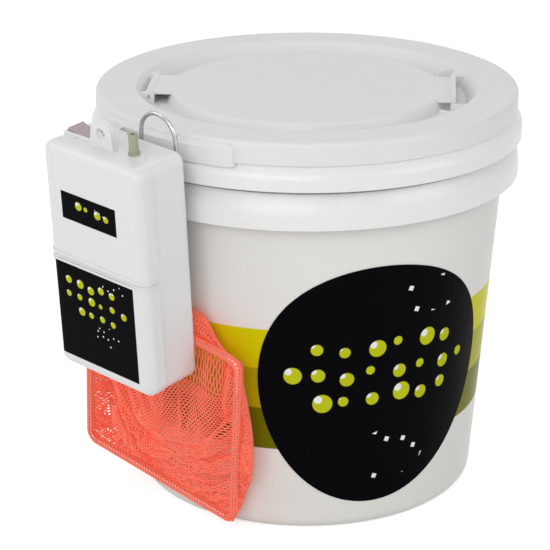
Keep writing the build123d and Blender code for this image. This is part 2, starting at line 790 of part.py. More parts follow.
# ---------------------------------------------------------------- air pump: front cover and battery door
with BuildPart() as pump_front_cover:
    with BuildSketch(pump_face(cover_back)) as cover_face:
        front_outline(front_cover_foot, pump_top)
        top_corners = cover_face.vertices().group_by(Axis.Y)[-1]
        fillet(top_corners, pump_corner_r)
    extrude(amount=cover_d)
    seam_line = pump_level(front_cover_foot)
    front_rim = (
        pump_front_cover.faces()
        .sort_by(Axis((0, 0, 0), pump_plane.z_dir))[-1]
        .edges()
        .filter_by(lambda e: seam_line.to_local_coords(e.center()).Z > 1)
    )
    fillet(front_rim, cover_edge_fillet)
    add_ridge(seam_y + ridge_inset)
    add_side_beads(seam_y + side_bead_over_seam, pump_top - side_bead_end)
    with BuildSketch(pump_face(cover_back)) as core_face:
        front_outline(front_cover_foot + pump_wall, pump_top - pump_wall, pump_wall)
        top_corners = core_face.vertices().group_by(Axis.Y)[-1]
        fillet(top_corners, pump_corner_r - pump_wall)
    extrude(amount=cover_d - pump_wall, mode=Mode.SUBTRACT)
    core_rim = (
        pump_front_cover.faces()
        .filter_by(Plane(pump_plane.origin, z_dir=pump_plane.z_dir))
        .filter_by(lambda f: abs(pump_plane.to_local_coords(f.center()).Z - cover_in_front) < 0.1)
        .edges()
        .filter_by(lambda e: seam_line.to_local_coords(e.center()).Z > 2 * pump_wall)
    )
    fillet(core_rim, cover_edge_fillet - pump_wall)
    with BuildSketch(pump_face(cover_back)):
        with Locations(screw_places):
            Circle(post_r)
    extrude(amount=cover_d - pump_wall / 2)
    with BuildSketch(pump_face(cover_back)):
        with Locations(screw_places):
            Circle(screw_hole_r)
    extrude(amount=screw_tip + screw_tip_gap / 2 - cover_back, mode=Mode.SUBTRACT)
    # lap behind the battery door
    with BuildSketch(pump_face(lap_back)):
        with Locations((0, divider_foot)):
            Rectangle(
                pump_w - 4 * cover_edge_fillet,
                front_cover_foot + pump_wall - divider_foot,
                align=(Align.CENTER, Align.MIN),
            )
    extrude(amount=cover_lip_t)
pump_front_cover.part.label = "pump_front_cover"

with BuildPart() as battery_cover:
    with BuildSketch(pump_face(cover_back)) as door_face:
        front_outline(-pump_top, door_top)
        foot_corners = door_face.vertices().group_by(Axis.Y)[0]
        fillet(foot_corners, pump_corner_r)
    extrude(amount=cover_d)
    door_line = pump_level(door_top)
    front_rim = (
        battery_cover.faces()
        .sort_by(Axis((0, 0, 0), pump_plane.z_dir))[-1]
        .edges()
        .filter_by(lambda e: door_line.to_local_coords(e.center()).Z < -1)
    )
    fillet(front_rim, cover_edge_fillet)
    add_ridge(seam_y - ridge_inset)
    add_side_beads(side_bead_end - pump_top, seam_y - side_bead_under_seam)
    with BuildSketch(pump_face(cover_back)) as core_face:
        front_outline(pump_wall - pump_top, door_top, pump_wall)
        foot_corners = core_face.vertices().group_by(Axis.Y)[0]
        fillet(foot_corners, pump_corner_r - pump_wall)
    extrude(amount=cover_d - pump_wall, mode=Mode.SUBTRACT)
    core_rim = (
        battery_cover.faces()
        .filter_by(Plane(pump_plane.origin, z_dir=pump_plane.z_dir))
        .filter_by(lambda f: abs(pump_plane.to_local_coords(f.center()).Z - cover_in_front) < 0.1)
        .edges()
        .filter_by(lambda e: door_line.to_local_coords(e.center()).Z < -1)
    )
    fillet(core_rim, cover_edge_fillet - pump_wall)
    # lips that run inside the housing's walls
    with BuildSketch(pump_face(cover_back - cover_lip_d)):
        for side in (-1, 1):
            with Locations((side * (lip_x - cover_lip_t / 2), cavity_foot + pump_corner_r)):
                Rectangle(cover_lip_t, divider_foot - cavity_foot - 2 * pump_corner_r, align=(Align.CENTER, Align.MIN))
    extrude(amount=cover_lip_d)
    with BuildSketch(pump_face(cover_back)):
        for side in (-1, 1):
            with Locations((side * (lip_x - cover_lip_t / 2), cavity_foot + pump_corner_r)):
                Rectangle(
                    2 * cover_lip_t, divider_foot - cavity_foot - 2 * pump_corner_r, align=(Align.CENTER, Align.MIN)
                )
    extrude(amount=cover_lip_t)
battery_cover.part.label = "battery_cover"

# ---------------------------------------------------------------- air pump: switch
with BuildPart() as switch_bezel:
    with BuildSketch(pump_level(switch_foot)):
        with Locations((switch_x, -switch_z)):
            Rectangle(switch_w, switch_d)
    extrude(amount=housing_top + switch_rise - switch_foot)
    bezel_rim = switch_bezel.edges().group_by(Axis((0, 0, 0), pump_plane.y_dir))[-1]
    fillet(bezel_rim, switch_frame / 2)
    with BuildSketch(pump_level(switch_floor)):
        with Locations((switch_x, -switch_z)):
            Rectangle(switch_in_w, switch_in_d)
    extrude(amount=pump_h, mode=Mode.SUBTRACT)
    with BuildSketch(pump_face(switch_z - switch_d / 2)):
        with Locations((switch_x, pivot_y)):
            Circle(rocker_pin_r + fit_gap)
    extrude(amount=switch_d, mode=Mode.SUBTRACT)
switch_bezel.part.label = "switch_bezel"

rocker_plane = turned_plane(pump_face(switch_z), roll=-rocker_tilt)
rocker_plane.origin = pump_plane.from_local_coords((switch_x, pivot_y, switch_z))

with BuildPart() as switch_rocker:
    with BuildSketch(rocker_plane.offset(-rocker_d / 2)):
        Circle(rocker_r)
        with BuildLine():
            valley = rocker_mid_h + 2 * rocker_r * tan(radians(rocker_tilt))
            Polyline(
                (0, rocker_mid_h),
                (2 * rocker_r, valley),
                (2 * rocker_r, -rocker_foot_h),
                (-2 * rocker_r, -rocker_foot_h),
                (-2 * rocker_r, valley),
                close=True,
            )
        make_face(mode=Mode.INTERSECT)
    extrude(amount=rocker_d)
    with BuildSketch(rocker_plane.offset(running_gap / 2 - switch_d / 2)):
        Circle(rocker_pin_r)
    extrude(amount=switch_d - running_gap)
switch_rocker.part.label = "switch_rocker"

# ---------------------------------------------------------------- air pump: cells and contacts
nub_sides = {"battery_left": 1, "battery_right": -1}
cells = []
for name, nub_side in nub_sides.items():
    body_foot = battery_foot if nub_side > 0 else battery_foot + battery_nub_h
    nub_start = body_foot + battery_h if nub_side > 0 else body_foot
    with BuildPart() as cell:
        with BuildSketch(pump_level(body_foot)):
            with Locations((-nub_side * battery_x, -battery_z)):
                Circle(battery_r)
        extrude(amount=battery_h)
        chamfer(cell.edges().filter_by(GeomType.CIRCLE), battery_nub_h / 2)
        with BuildSketch(pump_level(nub_start)):
            with Locations((-nub_side * battery_x, -battery_z)):
                Circle(battery_nub_r)
        extrude(amount=nub_side * battery_nub_h)
    cell.part.label = name
    cells.append(cell)

with BuildPart() as terminal_plates:
    with BuildSketch(pump_level(terminal_foot)):
        with Locations((-battery_x, -battery_z), (battery_x, -battery_z)):
            RectangleRounded(contact_l, contact_w, contact_w / 4)
    extrude(amount=contact_t)
terminal_plates.part.label = "terminal_plates"

leaf_h = battery_foot - cavity_foot - contact_t
leaf_y = cavity_foot + contact_t / 2
with BuildPart() as contact_bridge:
    with BuildSketch(pump_face(battery_z - contact_w / 2)):
        with BuildLine():
            Polyline(
                (-battery_x - leaf_foot_w / 2, leaf_y),
                (-battery_x - leaf_top_w / 2, leaf_y + leaf_h),
                (-battery_x + leaf_top_w / 2, leaf_y + leaf_h),
                (-battery_x + leaf_foot_w / 2, leaf_y),
                (battery_x - leaf_foot_w / 2, leaf_y),
                (battery_x - leaf_top_w / 2, leaf_y + leaf_h),
                (battery_x + leaf_top_w / 2, leaf_y + leaf_h),
                (battery_x + leaf_foot_w / 2, leaf_y),
            )
        trace(line_width=contact_t)
    extrude(amount=contact_w)
contact_bridge.part.label = "contact_bridge"

# ---------------------------------------------------------------- air pump: motor, crank, rod, head and air way
with BuildPart() as motor:
    with BuildSketch(pump_side(motor_x - motor_l / 2)):
        with Locations((motor_y, motor_z)):
            Circle(motor_r)
    extrude(amount=motor_l)
    with BuildSketch(pump_side(motor_face_x - shaft_grip - running_gap)):
        with Locations((motor_y, motor_z)):
            Circle(shaft_r + shaft_gap)
    extrude(amount=motor_l, mode=Mode.SUBTRACT)
motor.part.label = "motor"

with BuildPart() as crank:
    with BuildSketch(pump_side(motor_face_x - shaft_grip)):
        with Locations((motor_y, motor_z)):
            Circle(shaft_r)
    extrude(amount=shaft_grip + crank_gap)
    with BuildSketch(pump_side(crank_x)):
        with Locations((motor_y, motor_z)):
            Circle(crank_r)
    extrude(amount=crank_t)
    with BuildSketch(pump_side(crank_x + crank_t)):
        with Locations((motor_y, motor_z + crank_throw)):
            Circle(crank_pin_r)
    extrude(amount=crank_pin_l)
crank.part.label = "crank"

with BuildPart() as drive_rod:
    with BuildSketch(pump_side(rod_x)):
        with Locations((motor_y, motor_z)):
            Circle(rod_eye_r)
            Rectangle(diaphragm_y - motor_y, rod_w, align=(Align.MIN, Align.CENTER))
            Circle(crank_throw + crank_pin_r + rod_gap, mode=Mode.SUBTRACT)
    extrude(amount=rod_t)
drive_rod.part.label = "drive_rod"

with BuildPart() as diaphragm:
    with BuildSketch(pump_level(diaphragm_y)):
        with Locations((diaphragm_x, -motor_z)):
            Circle(diaphragm_r)
    extrude(amount=diaphragm_h)
    chamfer(diaphragm.edges().group_by(Axis((0, 0, 0), pump_plane.y_dir))[0], diaphragm_h / 2)
diaphragm.part.label = "diaphragm"

with BuildPart() as pump_head:
    with BuildSketch(pump_face(head_back)):
        with Locations((head_x, head_foot)):
            Rectangle(head_w, head_h, align=(Align.CENTER, Align.MIN))
    extrude(amount=head_d)
    fillet(pump_head.edges().filter_by(Axis((0, 0, 0), pump_plane.y_dir)), head_fillet)
    with BuildSketch(pump_level(head_foot + head_h)):
        with Locations((nozzle_x, -nozzle_z)):
            Circle(nozzle_stub_r)
    extrude(amount=nipple_l)
    with BuildSketch(pump_level(head_foot + head_h)):
        with Locations((nozzle_x, -nozzle_z)):
            Circle(nozzle_bore_r)
    extrude(amount=nipple_l, mode=Mode.SUBTRACT)
pump_head.part.label = "pump_head"

nozzle_axis_plane = Plane(
    pump_plane.from_local_coords((nozzle_x, 0, nozzle_z)), x_dir=pump_plane.x_dir, z_dir=pump_plane.z_dir
)
nozzle_top = pump_top + nozzle_rise
flange_top = housing_top - pump_wall
nozzle_neck_top = pump_top + nozzle_neck_h

with BuildPart() as air_nozzle:
    with BuildSketch(nozzle_axis_plane):
        with BuildLine():
            Polyline(
                (nozzle_bore_r, nozzle_foot),
                (nozzle_stub_r, nozzle_foot),
                (nozzle_stub_r, flange_top - nozzle_flange_t),
                (nozzle_flange_r, flange_top - nozzle_flange_t),
                (nozzle_flange_r, flange_top),
                (nozzle_neck_r, flange_top),
                (nozzle_neck_r, nozzle_neck_top),
                (nozzle_r, nozzle_neck_top),
                (nozzle_r, nozzle_top),
                (nozzle_bore_r, nozzle_top),
                close=True,
            )
        make_face()
    revolve(axis=Axis(nozzle_axis_plane.origin, pump_plane.y_dir))
air_nozzle.part.label = "air_nozzle"

tube_in_r = nozzle_stub_r + fit_gap / 2
with BuildPart() as air_tube:
    with BuildSketch(pump_level(head_foot + head_h)):
        with Locations((nozzle_x, -nozzle_z)):
            Circle(tube_in_r + tube_wall)
            Circle(tube_in_r, mode=Mode.SUBTRACT)
    extrude(amount=flange_top - nozzle_flange_t - head_foot - head_h)
air_tube.part.label = "air_tube"

# ---------------------------------------------------------------- air pump: screws, clip and rivets
with BuildPart() as housing_screws:
    with BuildSketch(pump_face(pump_back)):
        with Locations(screw_places):
            Circle(screw_head_r)
    extrude(amount=screw_head_t)
    with BuildSketch(pump_face(pump_back)):
        with Locations(screw_places):
            Circle(screw_r)
    extrude(amount=screw_tip - pump_back)
housing_screws.part.label = "housing_screws"

with BuildPart() as pump_clip:
    with BuildSketch(pump_side(clip_x - clip_w / 2)):
        with BuildLine():
            leg = Line((hook_outer_y - clip_leg_h, hook_leg_z), (hook_bend_y, hook_leg_z))
            bend = ThreePointArc(
                leg @ 1,
                (hook_bend_y + hook_bend_r, (hook_leg_z + hook_tongue_z) / 2),
                (hook_bend_y, hook_tongue_z),
            )
            Line(bend @ 1, (hook_bend_y - hook_h, hook_tongue_z))
        trace(line_width=clip_t)
    extrude(amount=clip_w)
    with BuildSketch(pump_face(pump_back)):
        with Locations([(clip_x, y) for y in rivet_ys]):
            Circle(rivet_r + fit_gap / 2)
    extrude(amount=-2 * clip_t, mode=Mode.SUBTRACT)
pump_clip.part.label = "pump_clip"

with BuildPart() as clip_rivets:
    with BuildSketch(pump_face(pump_back - clip_t - rivet_head_t)):
        with Locations([(clip_x, y) for y in rivet_ys]):
            Circle(rivet_head_r)
    extrude(amount=rivet_head_t)
    with BuildSketch(pump_face(pump_back - clip_t)):
        with Locations([(clip_x, y) for y in rivet_ys]):
            Circle(rivet_r)
    extrude(amount=clip_t + pump_wall)
    with BuildSketch(pump_face(cavity_back)):
        with Locations([(clip_x, y) for y in rivet_ys]):
            Circle(rivet_head_r)
    extrude(amount=rivet_head_t)
clip_rivets.part.label = "clip_rivets"

# ---------------------------------------------------------------- dip net
net_z = pump_back - net_wire_gap - net_wire_r
net_plane = turned_plane(pump_face(net_z), roll=-net_roll)
net_plane.origin = pump_plane.from_local_coords((net_mid_x, net_mid_y, net_z))

hoop_half_w = net_w / 2
hoop_half_h = net_h / 2
handle_turn_y = handle_top_y - handle_half_w

with BuildPart() as net_frame:
    with BuildLine(net_plane):
        FilletPolyline(
            (-hoop_half_w, -hoop_half_h),
            (hoop_half_w, -hoop_half_h),
            (hoop_half_w, hoop_half_h),
            (-hoop_half_w, hoop_half_h),
            radius=net_corner_r,
            close=True,
        )
    hoop_start = Plane(net_plane.from_local_coords((0, -hoop_half_h, 0)), z_dir=net_plane.x_dir)
    with BuildSketch(hoop_start):
        Circle(net_wire_r)
    sweep()
    with BuildLine(net_plane):
        near_limb = Line((handle_x - handle_half_w, hoop_half_h), (handle_x - handle_half_w, handle_turn_y))
        crown = ThreePointArc(
            near_limb @ 1, (handle_x, handle_top_y), (handle_x + handle_half_w, handle_turn_y)
        )
        Line(crown @ 1, (handle_x + handle_half_w, hoop_half_h))
    limb_foot = net_plane.from_local_coords((handle_x - handle_half_w, hoop_half_h, 0))
    with BuildSketch(Plane(limb_foot, z_dir=net_plane.y_dir)):
        Circle(net_wire_r)
    sweep()
net_frame.part.label = "net_frame"

bag_front_z = -net_wire_r - bag_wire_gap


def bag_body(wall):
    """Rounded bag behind the hoop, kept off the pail, drawn in by a wall."""
    with BuildPart() as body:
        with BuildSketch(net_plane.offset(bag_front_z)):
            with Locations(((bag_right - bag_left) / 2, (bag_top - bag_bottom) / 2)):
                RectangleRounded(
                    bag_left + bag_right - 2 * wall, bag_top + bag_bottom - 2 * wall, bag_corner_r - wall
                )
        extrude(amount=-bag_depth)
        off_pail = bag_pail_gap + wall
        with BuildSketch(Plane.XZ):
            with BuildLine():
                Polyline(
                    (0, 0),
                    (wall_r(0) + off_pail, 0),
                    (wall_r(rim_top_z) + off_pail, rim_top_z),
                    (0, rim_top_z),
                    close=True,
                )
            make_face()
        revolve(axis=Axis.Z, mode=Mode.SUBTRACT)
    return body.part


outer_bag = bag_body(0)
inner_bag = bag_body(bag_wall)

with BuildPart() as net_bag:
    add(outer_bag)
    add(inner_bag, mode=Mode.SUBTRACT)
net_bag.part.label = "net_bag"

pieces = [
    bucket_shell,
    *ribs,
    foam_liner,
    lid,
    pump_hanger,
    rim_gasket,
    lid_insulation,
    hinge_pin,
    hatch,
    hatch_insulation,
    pump_back_housing,
    pump_front_cover,
    battery_cover,
    switch_bezel,
    switch_rocker,
    *cells,
    terminal_plates,
    contact_bridge,
    motor,
    crank,
    drive_rod,
    diaphragm,
    pump_head,
    air_nozzle,
    air_tube,
    housing_screws,
    pump_clip,
    clip_rivets,
    net_frame,
    net_bag,
]
os.makedirs("parts", exist_ok=True)
for piece in pieces:
    export_step(piece.part, f"parts/{piece.part.label}.step")
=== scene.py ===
# %% [markdown]
# # An aerated bait bucket
# A white pail keeps live bait cool and breathing. Foam lines it, a hatch opens in its lid, and an air pump
# hangs from its rim with a dip net tucked behind it. The solid pieces arrive as a fixed frame that was drawn
# elsewhere. Here they get light, finishes, printed labels and the soft mesh of the net, one step at a time.

# %% Load the frame
import math

import bpy
from mathutils import Matrix, Vector


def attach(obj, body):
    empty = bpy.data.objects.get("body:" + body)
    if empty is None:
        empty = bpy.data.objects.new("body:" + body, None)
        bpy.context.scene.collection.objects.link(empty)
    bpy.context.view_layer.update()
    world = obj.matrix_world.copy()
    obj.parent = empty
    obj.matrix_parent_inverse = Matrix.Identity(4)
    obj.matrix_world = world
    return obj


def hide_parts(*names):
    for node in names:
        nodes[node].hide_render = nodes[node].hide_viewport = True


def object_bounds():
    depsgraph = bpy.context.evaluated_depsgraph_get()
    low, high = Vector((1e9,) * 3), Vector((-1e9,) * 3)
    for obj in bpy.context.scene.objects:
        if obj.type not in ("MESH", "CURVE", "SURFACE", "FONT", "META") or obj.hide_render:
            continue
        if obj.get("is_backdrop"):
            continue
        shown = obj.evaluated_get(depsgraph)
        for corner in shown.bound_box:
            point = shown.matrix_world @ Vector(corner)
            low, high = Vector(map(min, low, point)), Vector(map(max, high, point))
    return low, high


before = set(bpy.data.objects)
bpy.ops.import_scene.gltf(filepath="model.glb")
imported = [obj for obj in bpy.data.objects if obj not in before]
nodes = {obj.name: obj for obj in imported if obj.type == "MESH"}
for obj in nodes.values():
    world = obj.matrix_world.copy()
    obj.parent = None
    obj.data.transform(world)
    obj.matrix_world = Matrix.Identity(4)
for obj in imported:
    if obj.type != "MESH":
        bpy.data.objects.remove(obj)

cad_box = [list(corner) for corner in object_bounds()]
MM = 0.001
bpy.ops.object.select_all(action="DESELECT")

# %% [markdown]
# The pump and the net hang askew: they lean out, roll a little and face the front left. Each gets its own
# set of directions, right, up and out, so that a label or a seam can be placed as if the pump lay flat on a
# bench. These directions are the ones that the solids were drawn with.

# %% Places of the pump, the net and the wall
PUMP_MIDDLE = Vector((-0.12642, -0.12403, 0.2032))
PUMP_RIGHT = Vector((0.73822, -0.67221, -0.05631))
PUMP_UP = Vector((-0.03733, -0.12405, 0.99157))
PUMP_OUT = Vector((-0.67353, -0.7299, -0.11667))
NET_MIDDLE = Vector((-0.10295, -0.09402, 0.08606))
NET_RIGHT = Vector((0.73834, -0.65689, -0.1528))
NET_UP = Vector((0.03489, -0.18906, 0.98135))
NET_OUT = NET_RIGHT.cross(NET_UP)
WALL_FOOT_R, WALL_TAPER = 0.1221, 0.08


def bench(middle, right, up, out):
    """Matrix that carries a piece from the bench, x right, y up and z out, to its place."""
    turned = Matrix((right, up, out)).transposed().to_4x4()
    return Matrix.Translation(middle) @ turned


pump_bench = bench(PUMP_MIDDLE, PUMP_RIGHT, PUMP_UP, PUMP_OUT)
net_bench = bench(NET_MIDDLE, NET_RIGHT, NET_UP, NET_OUT)
print("pump faces", tuple(round(x, 2) for x in PUMP_OUT))


def pail_r(z):
    """Outer radius of the tapered wall at a height, in metres."""
    return WALL_FOOT_R + WALL_TAPER * z


# %% [markdown]
# The camera stands in front and looks down by twenty degrees. A long lens keeps the pail's sides nearly
# upright.

# %% Camera
CAMERA_PLACE = (-0.02277, -1.5538, 0.7171)
CAMERA_TILT = math.radians(69.832)
CAMERA_LENS, CAMERA_SENSOR = 147.67, 36
FAR_CLIP = 20
bpy.ops.object.camera_add(location=CAMERA_PLACE, rotation=(CAMERA_TILT, 0, 0))
camera = bpy.context.object
camera.data.sensor_width = CAMERA_SENSOR
camera.data.lens = CAMERA_LENS
camera.data.clip_end = FAR_CLIP
bpy.context.scene.camera = camera
bpy.context.scene.view_settings.view_transform = "Standard"
print("camera looks down", round(90 - math.degrees(camera.rotation_euler.x), 1), "degrees")

# %% [markdown]
# A white object on a white ground is lit mostly from the front, low enough that upright faces stay a little
# brighter than flat ones, so every rim keeps a darker face next to a lighter one. Two weaker lamps at the
# sides shape the round wall, and a faint one far up lifts the lid. The floor is a little brighter to the eye,
# and to what shines, than the lamps make it, and it keeps the soft shadow.

# %% Floor and backdrop
FLOOR_GREY, FLOOR_GLOW, FLOOR_SIZE = 0.82, 0.55, 6
AIR_LIGHT, AIR_LOOK = 0.43, 1.0


def looked_at(tree):
    """1 for a ray from the camera, or one that a shiny or clear surface sends on, else 0."""
    path = tree.nodes.new("ShaderNodeLightPath")
    most = path.outputs["Is Camera Ray"]
    for kind in ("Is Glossy Ray", "Is Transmission Ray"):
        larger = tree.nodes.new("ShaderNodeMath")
        larger.operation = "MAXIMUM"
        tree.links.new(most, larger.inputs[0])
        tree.links.new(path.outputs[kind], larger.inputs[1])
        most = larger.outputs[0]
    return most


studio = bpy.data.materials.new("studio_floor")
studio.use_nodes = True
tree = studio.node_tree
tree.nodes.clear()
out = tree.nodes.new("ShaderNodeOutputMaterial")
diffuse = tree.nodes.new("ShaderNodeBsdfDiffuse")
diffuse.inputs["Color"].default_value = (FLOOR_GREY, FLOOR_GREY, FLOOR_GREY, 1)
glow = tree.nodes.new("ShaderNodeEmission")
glow.inputs["Color"].default_value = (1, 1, 1, 1)
lift = tree.nodes.new("ShaderNodeMath")
lift.operation = "MULTIPLY"
lift.inputs[1].default_value = FLOOR_GLOW
tree.links.new(looked_at(tree), lift.inputs[0])
tree.links.new(lift.outputs[0], glow.inputs["Strength"])
both = tree.nodes.new("ShaderNodeAddShader")
tree.links.new(diffuse.outputs[0], both.inputs[0])
tree.links.new(glow.outputs[0], both.inputs[1])
tree.links.new(both.outputs[0], out.inputs["Surface"])
bpy.ops.mesh.primitive_plane_add(size=FLOOR_SIZE, location=(0, 0.4, 0))
floor = bpy.context.object
floor.name = "studio_floor"
floor.data.materials.append(studio)
floor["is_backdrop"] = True
bpy.ops.object.select_all(action="DESELECT")

world = bpy.data.worlds.new("studio_air")
bpy.context.scene.world = world
world.use_nodes = True
air = world.node_tree
background = air.nodes["Background"]
strength = air.nodes.new("ShaderNodeMapRange")
strength.inputs["To Min"].default_value = AIR_LIGHT
strength.inputs["To Max"].default_value = AIR_LOOK
air.links.new(looked_at(air), strength.inputs["Value"])
air.links.new(strength.outputs["Result"], background.inputs["Strength"])
background.inputs["Color"].default_value = (1, 1, 1, 1)

# %% Lamps
LAMP_AIM = Vector((0, 0, 0.15))


def soft_lamp(name, azimuth, elevation, distance, size, power):
    """A square lamp that looks at the middle of the pail."""
    a, e = math.radians(azimuth), math.radians(elevation)
    away = Vector((math.sin(a) * math.cos(e), -math.cos(a) * math.cos(e), math.sin(e)))
    bpy.ops.object.light_add(type="AREA", location=LAMP_AIM + away * distance)
    lamp = bpy.context.object
    lamp.name = name
    lamp.rotation_euler = away.to_track_quat("Z", "Y").to_euler()
    lamp.data.size = size
    lamp.data.energy = power
    bpy.ops.object.select_all(action="DESELECT")


soft_lamp("front_softbox", -16, 24, 2.0, 1.4, 13.5)
soft_lamp("right_softbox", 62, 26, 1.8, 1.0, 6)
soft_lamp("left_softbox", -78, 30, 1.8, 1.1, 6)
soft_lamp("top_softbox", 170, 66, 1.8, 1.2, 4)

# %% [markdown]
# Every finish is built from the same few parts: a base colour that wanders by a percent or two, a roughness
# that the moulding and handling left uneven, and a fine bump. A small helper adds nodes and joins them, so
# each material below reads as a short recipe. Patterns are laid in the object's own coordinates, in metres.

# %% Helpers for finishes


class Finish:
    """A material under construction, with its nodes and one gloss shader."""

    def __init__(self, name, colour, roughness, metallic=0.0, coat=0.0, specular=0.5):
        self.material = bpy.data.materials.new(name)
        self.material.use_nodes = True
        self.tree = self.material.node_tree
        self.shader = self.tree.nodes["Principled BSDF"]
        self.shader.inputs["Base Color"].default_value = (*colour, 1)
        self.shader.inputs["Roughness"].default_value = roughness
        self.shader.inputs["Metallic"].default_value = metallic
        self.shader.inputs["Coat Weight"].default_value = coat
        self.shader.inputs["Specular IOR Level"].default_value = specular
        self.place = self.add("ShaderNodeTexCoord").outputs["Object"]

    def add(self, kind, **settings):
        """A new node of a kind, with its settings."""
        node = self.tree.nodes.new(kind)
        for key, value in settings.items():
            setattr(node, key, value)
        return node

    def join(self, source, target):
        """Gives an input its number or colour, or links another node's output to it."""
        if isinstance(source, (int, float)):
            target.default_value = source
        elif isinstance(source, tuple):
            target.default_value = source if len(source) == len(target.default_value) else (*source, 1)
        else:
            self.tree.links.new(source, target)

    def math(self, operation, a, b=0.0):
        """One sum, product or comparison of two values."""
        node = self.add("ShaderNodeMath", operation=operation)
        self.join(a, node.inputs[0])
        self.join(b, node.inputs[1])
        return node.outputs[0]

    def mix(self, amount, a, b):
        """Colour a where the amount is 0, and colour b where it is 1."""
        node = self.add("ShaderNodeMix", data_type="RGBA")
        self.join(amount, node.inputs["Factor"])
        self.join(a, node.inputs[6])
        self.join(b, node.inputs[7])
        return node.outputs[2]

    def spread(self, value, low, high, to_low, to_high):
        """Stretches a value from one range to another and keeps it inside."""
        node = self.add("ShaderNodeMapRange")
        keys = ("Value", "From Min", "From Max", "To Min", "To Max")
        for source, key in zip((value, low, high, to_low, to_high), keys):
            self.join(source, node.inputs[key])
        return node.outputs["Result"]

    def noise(self, scale, detail=3.0, stretch=None):
        """Clouds of noise, as fine as their scale, which can be stretched along an axis."""
        node = self.add("ShaderNodeTexNoise")
        where = self.place
        if stretch:
            mapping = self.add("ShaderNodeMapping")
            mapping.inputs["Scale"].default_value = stretch
            self.join(where, mapping.inputs["Vector"])
            where = mapping.outputs[0]
        self.join(where, node.inputs["Vector"])
        node.inputs["Scale"].default_value = scale
        node.inputs["Detail"].default_value = detail
        return node.outputs["Fac"]

    def bump(self, height, distance):
        """Fine relief: a height from 0 to 1, times a distance in metres."""
        node = self.add("ShaderNodeBump")
        node.inputs["Distance"].default_value = distance
        node.inputs["Strength"].default_value = 1.0
        self.join(height, node.inputs["Height"])
        self.join(node.outputs[0], self.shader.inputs["Normal"])

    def colour(self, source):
        """Sets the base colour."""
        self.join(source, self.shader.inputs["Base Color"])

    def rough(self, source):
        """Sets the roughness."""
        self.join(source, self.shader.inputs["Roughness"])


def shade(colour, amount):
    """The same colour, lighter or darker by a share."""
    return tuple(min(1.0, c * amount) for c in colour)


def moulded(name, colour, roughness, grain=2200, grain_depth=0.00002, wander=0.03, coat=0.0):
    """Moulded plastic: faint cloudy colour, uneven gloss, fine grain and a few flow lines."""
    finish = Finish(name, colour, roughness, coat=coat)
    cloud = finish.noise(14, 4)
    finish.colour(finish.mix(cloud, shade(colour, 1 - wander), shade(colour, 1 + wander)))
    scuffs = finish.noise(38, 4)
    finish.rough(finish.spread(scuffs, 0.3, 0.75, roughness * 0.88, roughness * 1.15))
    fine = finish.noise(grain, 2)
    waves = finish.noise(26, 2)
    finish.bump(finish.math("ADD", fine, finish.math("MULTIPLY", waves, 3.0)), grain_depth)
    return finish


# %% [markdown]
# The pail's wall carries three printed bands that run all round it. They are ink, with no thickness of their
# own, so they belong in the wall's finish, chosen by height alone. Each band has a lower edge and a colour,
# and a little noise keeps the ink from looking flat.

# %% The printed pail wall
PAIL_WHITE = (0.80, 0.79, 0.76)
LOW_BAND, LOW_GREEN = 0.0637, (0.135, 0.145, 0.004)
MID_BAND, MID_GREEN = 0.0950, (0.42, 0.40, 0.004)
TOP_BAND, TOP_GREEN = 0.1255, (0.64, 0.62, 0.003)
BAND_TOP = 0.1550
INK_BLACK = (0.0026, 0.0026, 0.0036)
BUBBLE_GREEN = (0.54, 0.58, 0.015)
BUBBLE_WHITE = (0.86, 0.87, 0.85)


def edge(finish, value, at, width=0.00025):
    """0 below a value and 1 above it, with a thin soft edge."""
    return finish.spread(value, at - width, at + width, 0.0, 1.0)


def inside_oval(finish, across, up, middle, half):
    """1 inside an oval, 0 outside it."""
    a = finish.math("DIVIDE", finish.math("SUBTRACT", across, middle[0]), half[0])
    b = finish.math("DIVIDE", finish.math("SUBTRACT", up, middle[1]), half[1])
    squares = finish.math("ADD", finish.math("MULTIPLY", a, a), finish.math("MULTIPLY", b, b))
    return finish.math("LESS_THAN", finish.math("SQRT", squares), 1.0)


def bubbles(finish, across, up, cell, fill, seed, middle, half):
    """Discs, one to a cell whose centre is in an oval: ink, highlight and a number for each disc."""

    def cells(dx, dy):
        join = finish.add("ShaderNodeCombineXYZ")
        finish.join(finish.math("ADD", across, seed + dx), join.inputs[0])
        finish.join(finish.math("ADD", up, dy), join.inputs[1])
        pattern = finish.add("ShaderNodeTexVoronoi", voronoi_dimensions="2D")
        pattern.inputs["Scale"].default_value = 1 / cell
        pattern.inputs["Randomness"].default_value = 0.3
        finish.join(join.outputs[0], pattern.inputs["Vector"])
        return pattern

    body = cells(0.0, 0.0)
    split = finish.add("ShaderNodeSeparateColor")
    finish.join(body.outputs["Color"], split.inputs[0])
    size = finish.spread(split.outputs[0], 0.0, 1.0, fill * 0.45, fill)
    gap = finish.math("SUBTRACT", size, body.outputs["Distance"])
    disc = finish.spread(gap, -0.01, 0.015, 0.0, 1.0)
    shine = cells(0.16 * cell, -0.16 * cell)
    cap_gap = finish.math("SUBTRACT", finish.math("MULTIPLY", size, 0.42), shine.outputs["Distance"])
    cap = finish.math("MULTIPLY", finish.spread(cap_gap, -0.01, 0.015, 0.0, 1.0), disc)
    centre = finish.add("ShaderNodeSeparateXYZ")
    finish.join(body.outputs["Position"], centre.inputs[0])
    centre_x = finish.math("SUBTRACT", centre.outputs[0], seed)
    zone = inside_oval(finish, centre_x, centre.outputs[1], middle, half)
    return finish.math("MULTIPLY", disc, zone), finish.math("MULTIPLY", cap, zone), split.outputs[1]


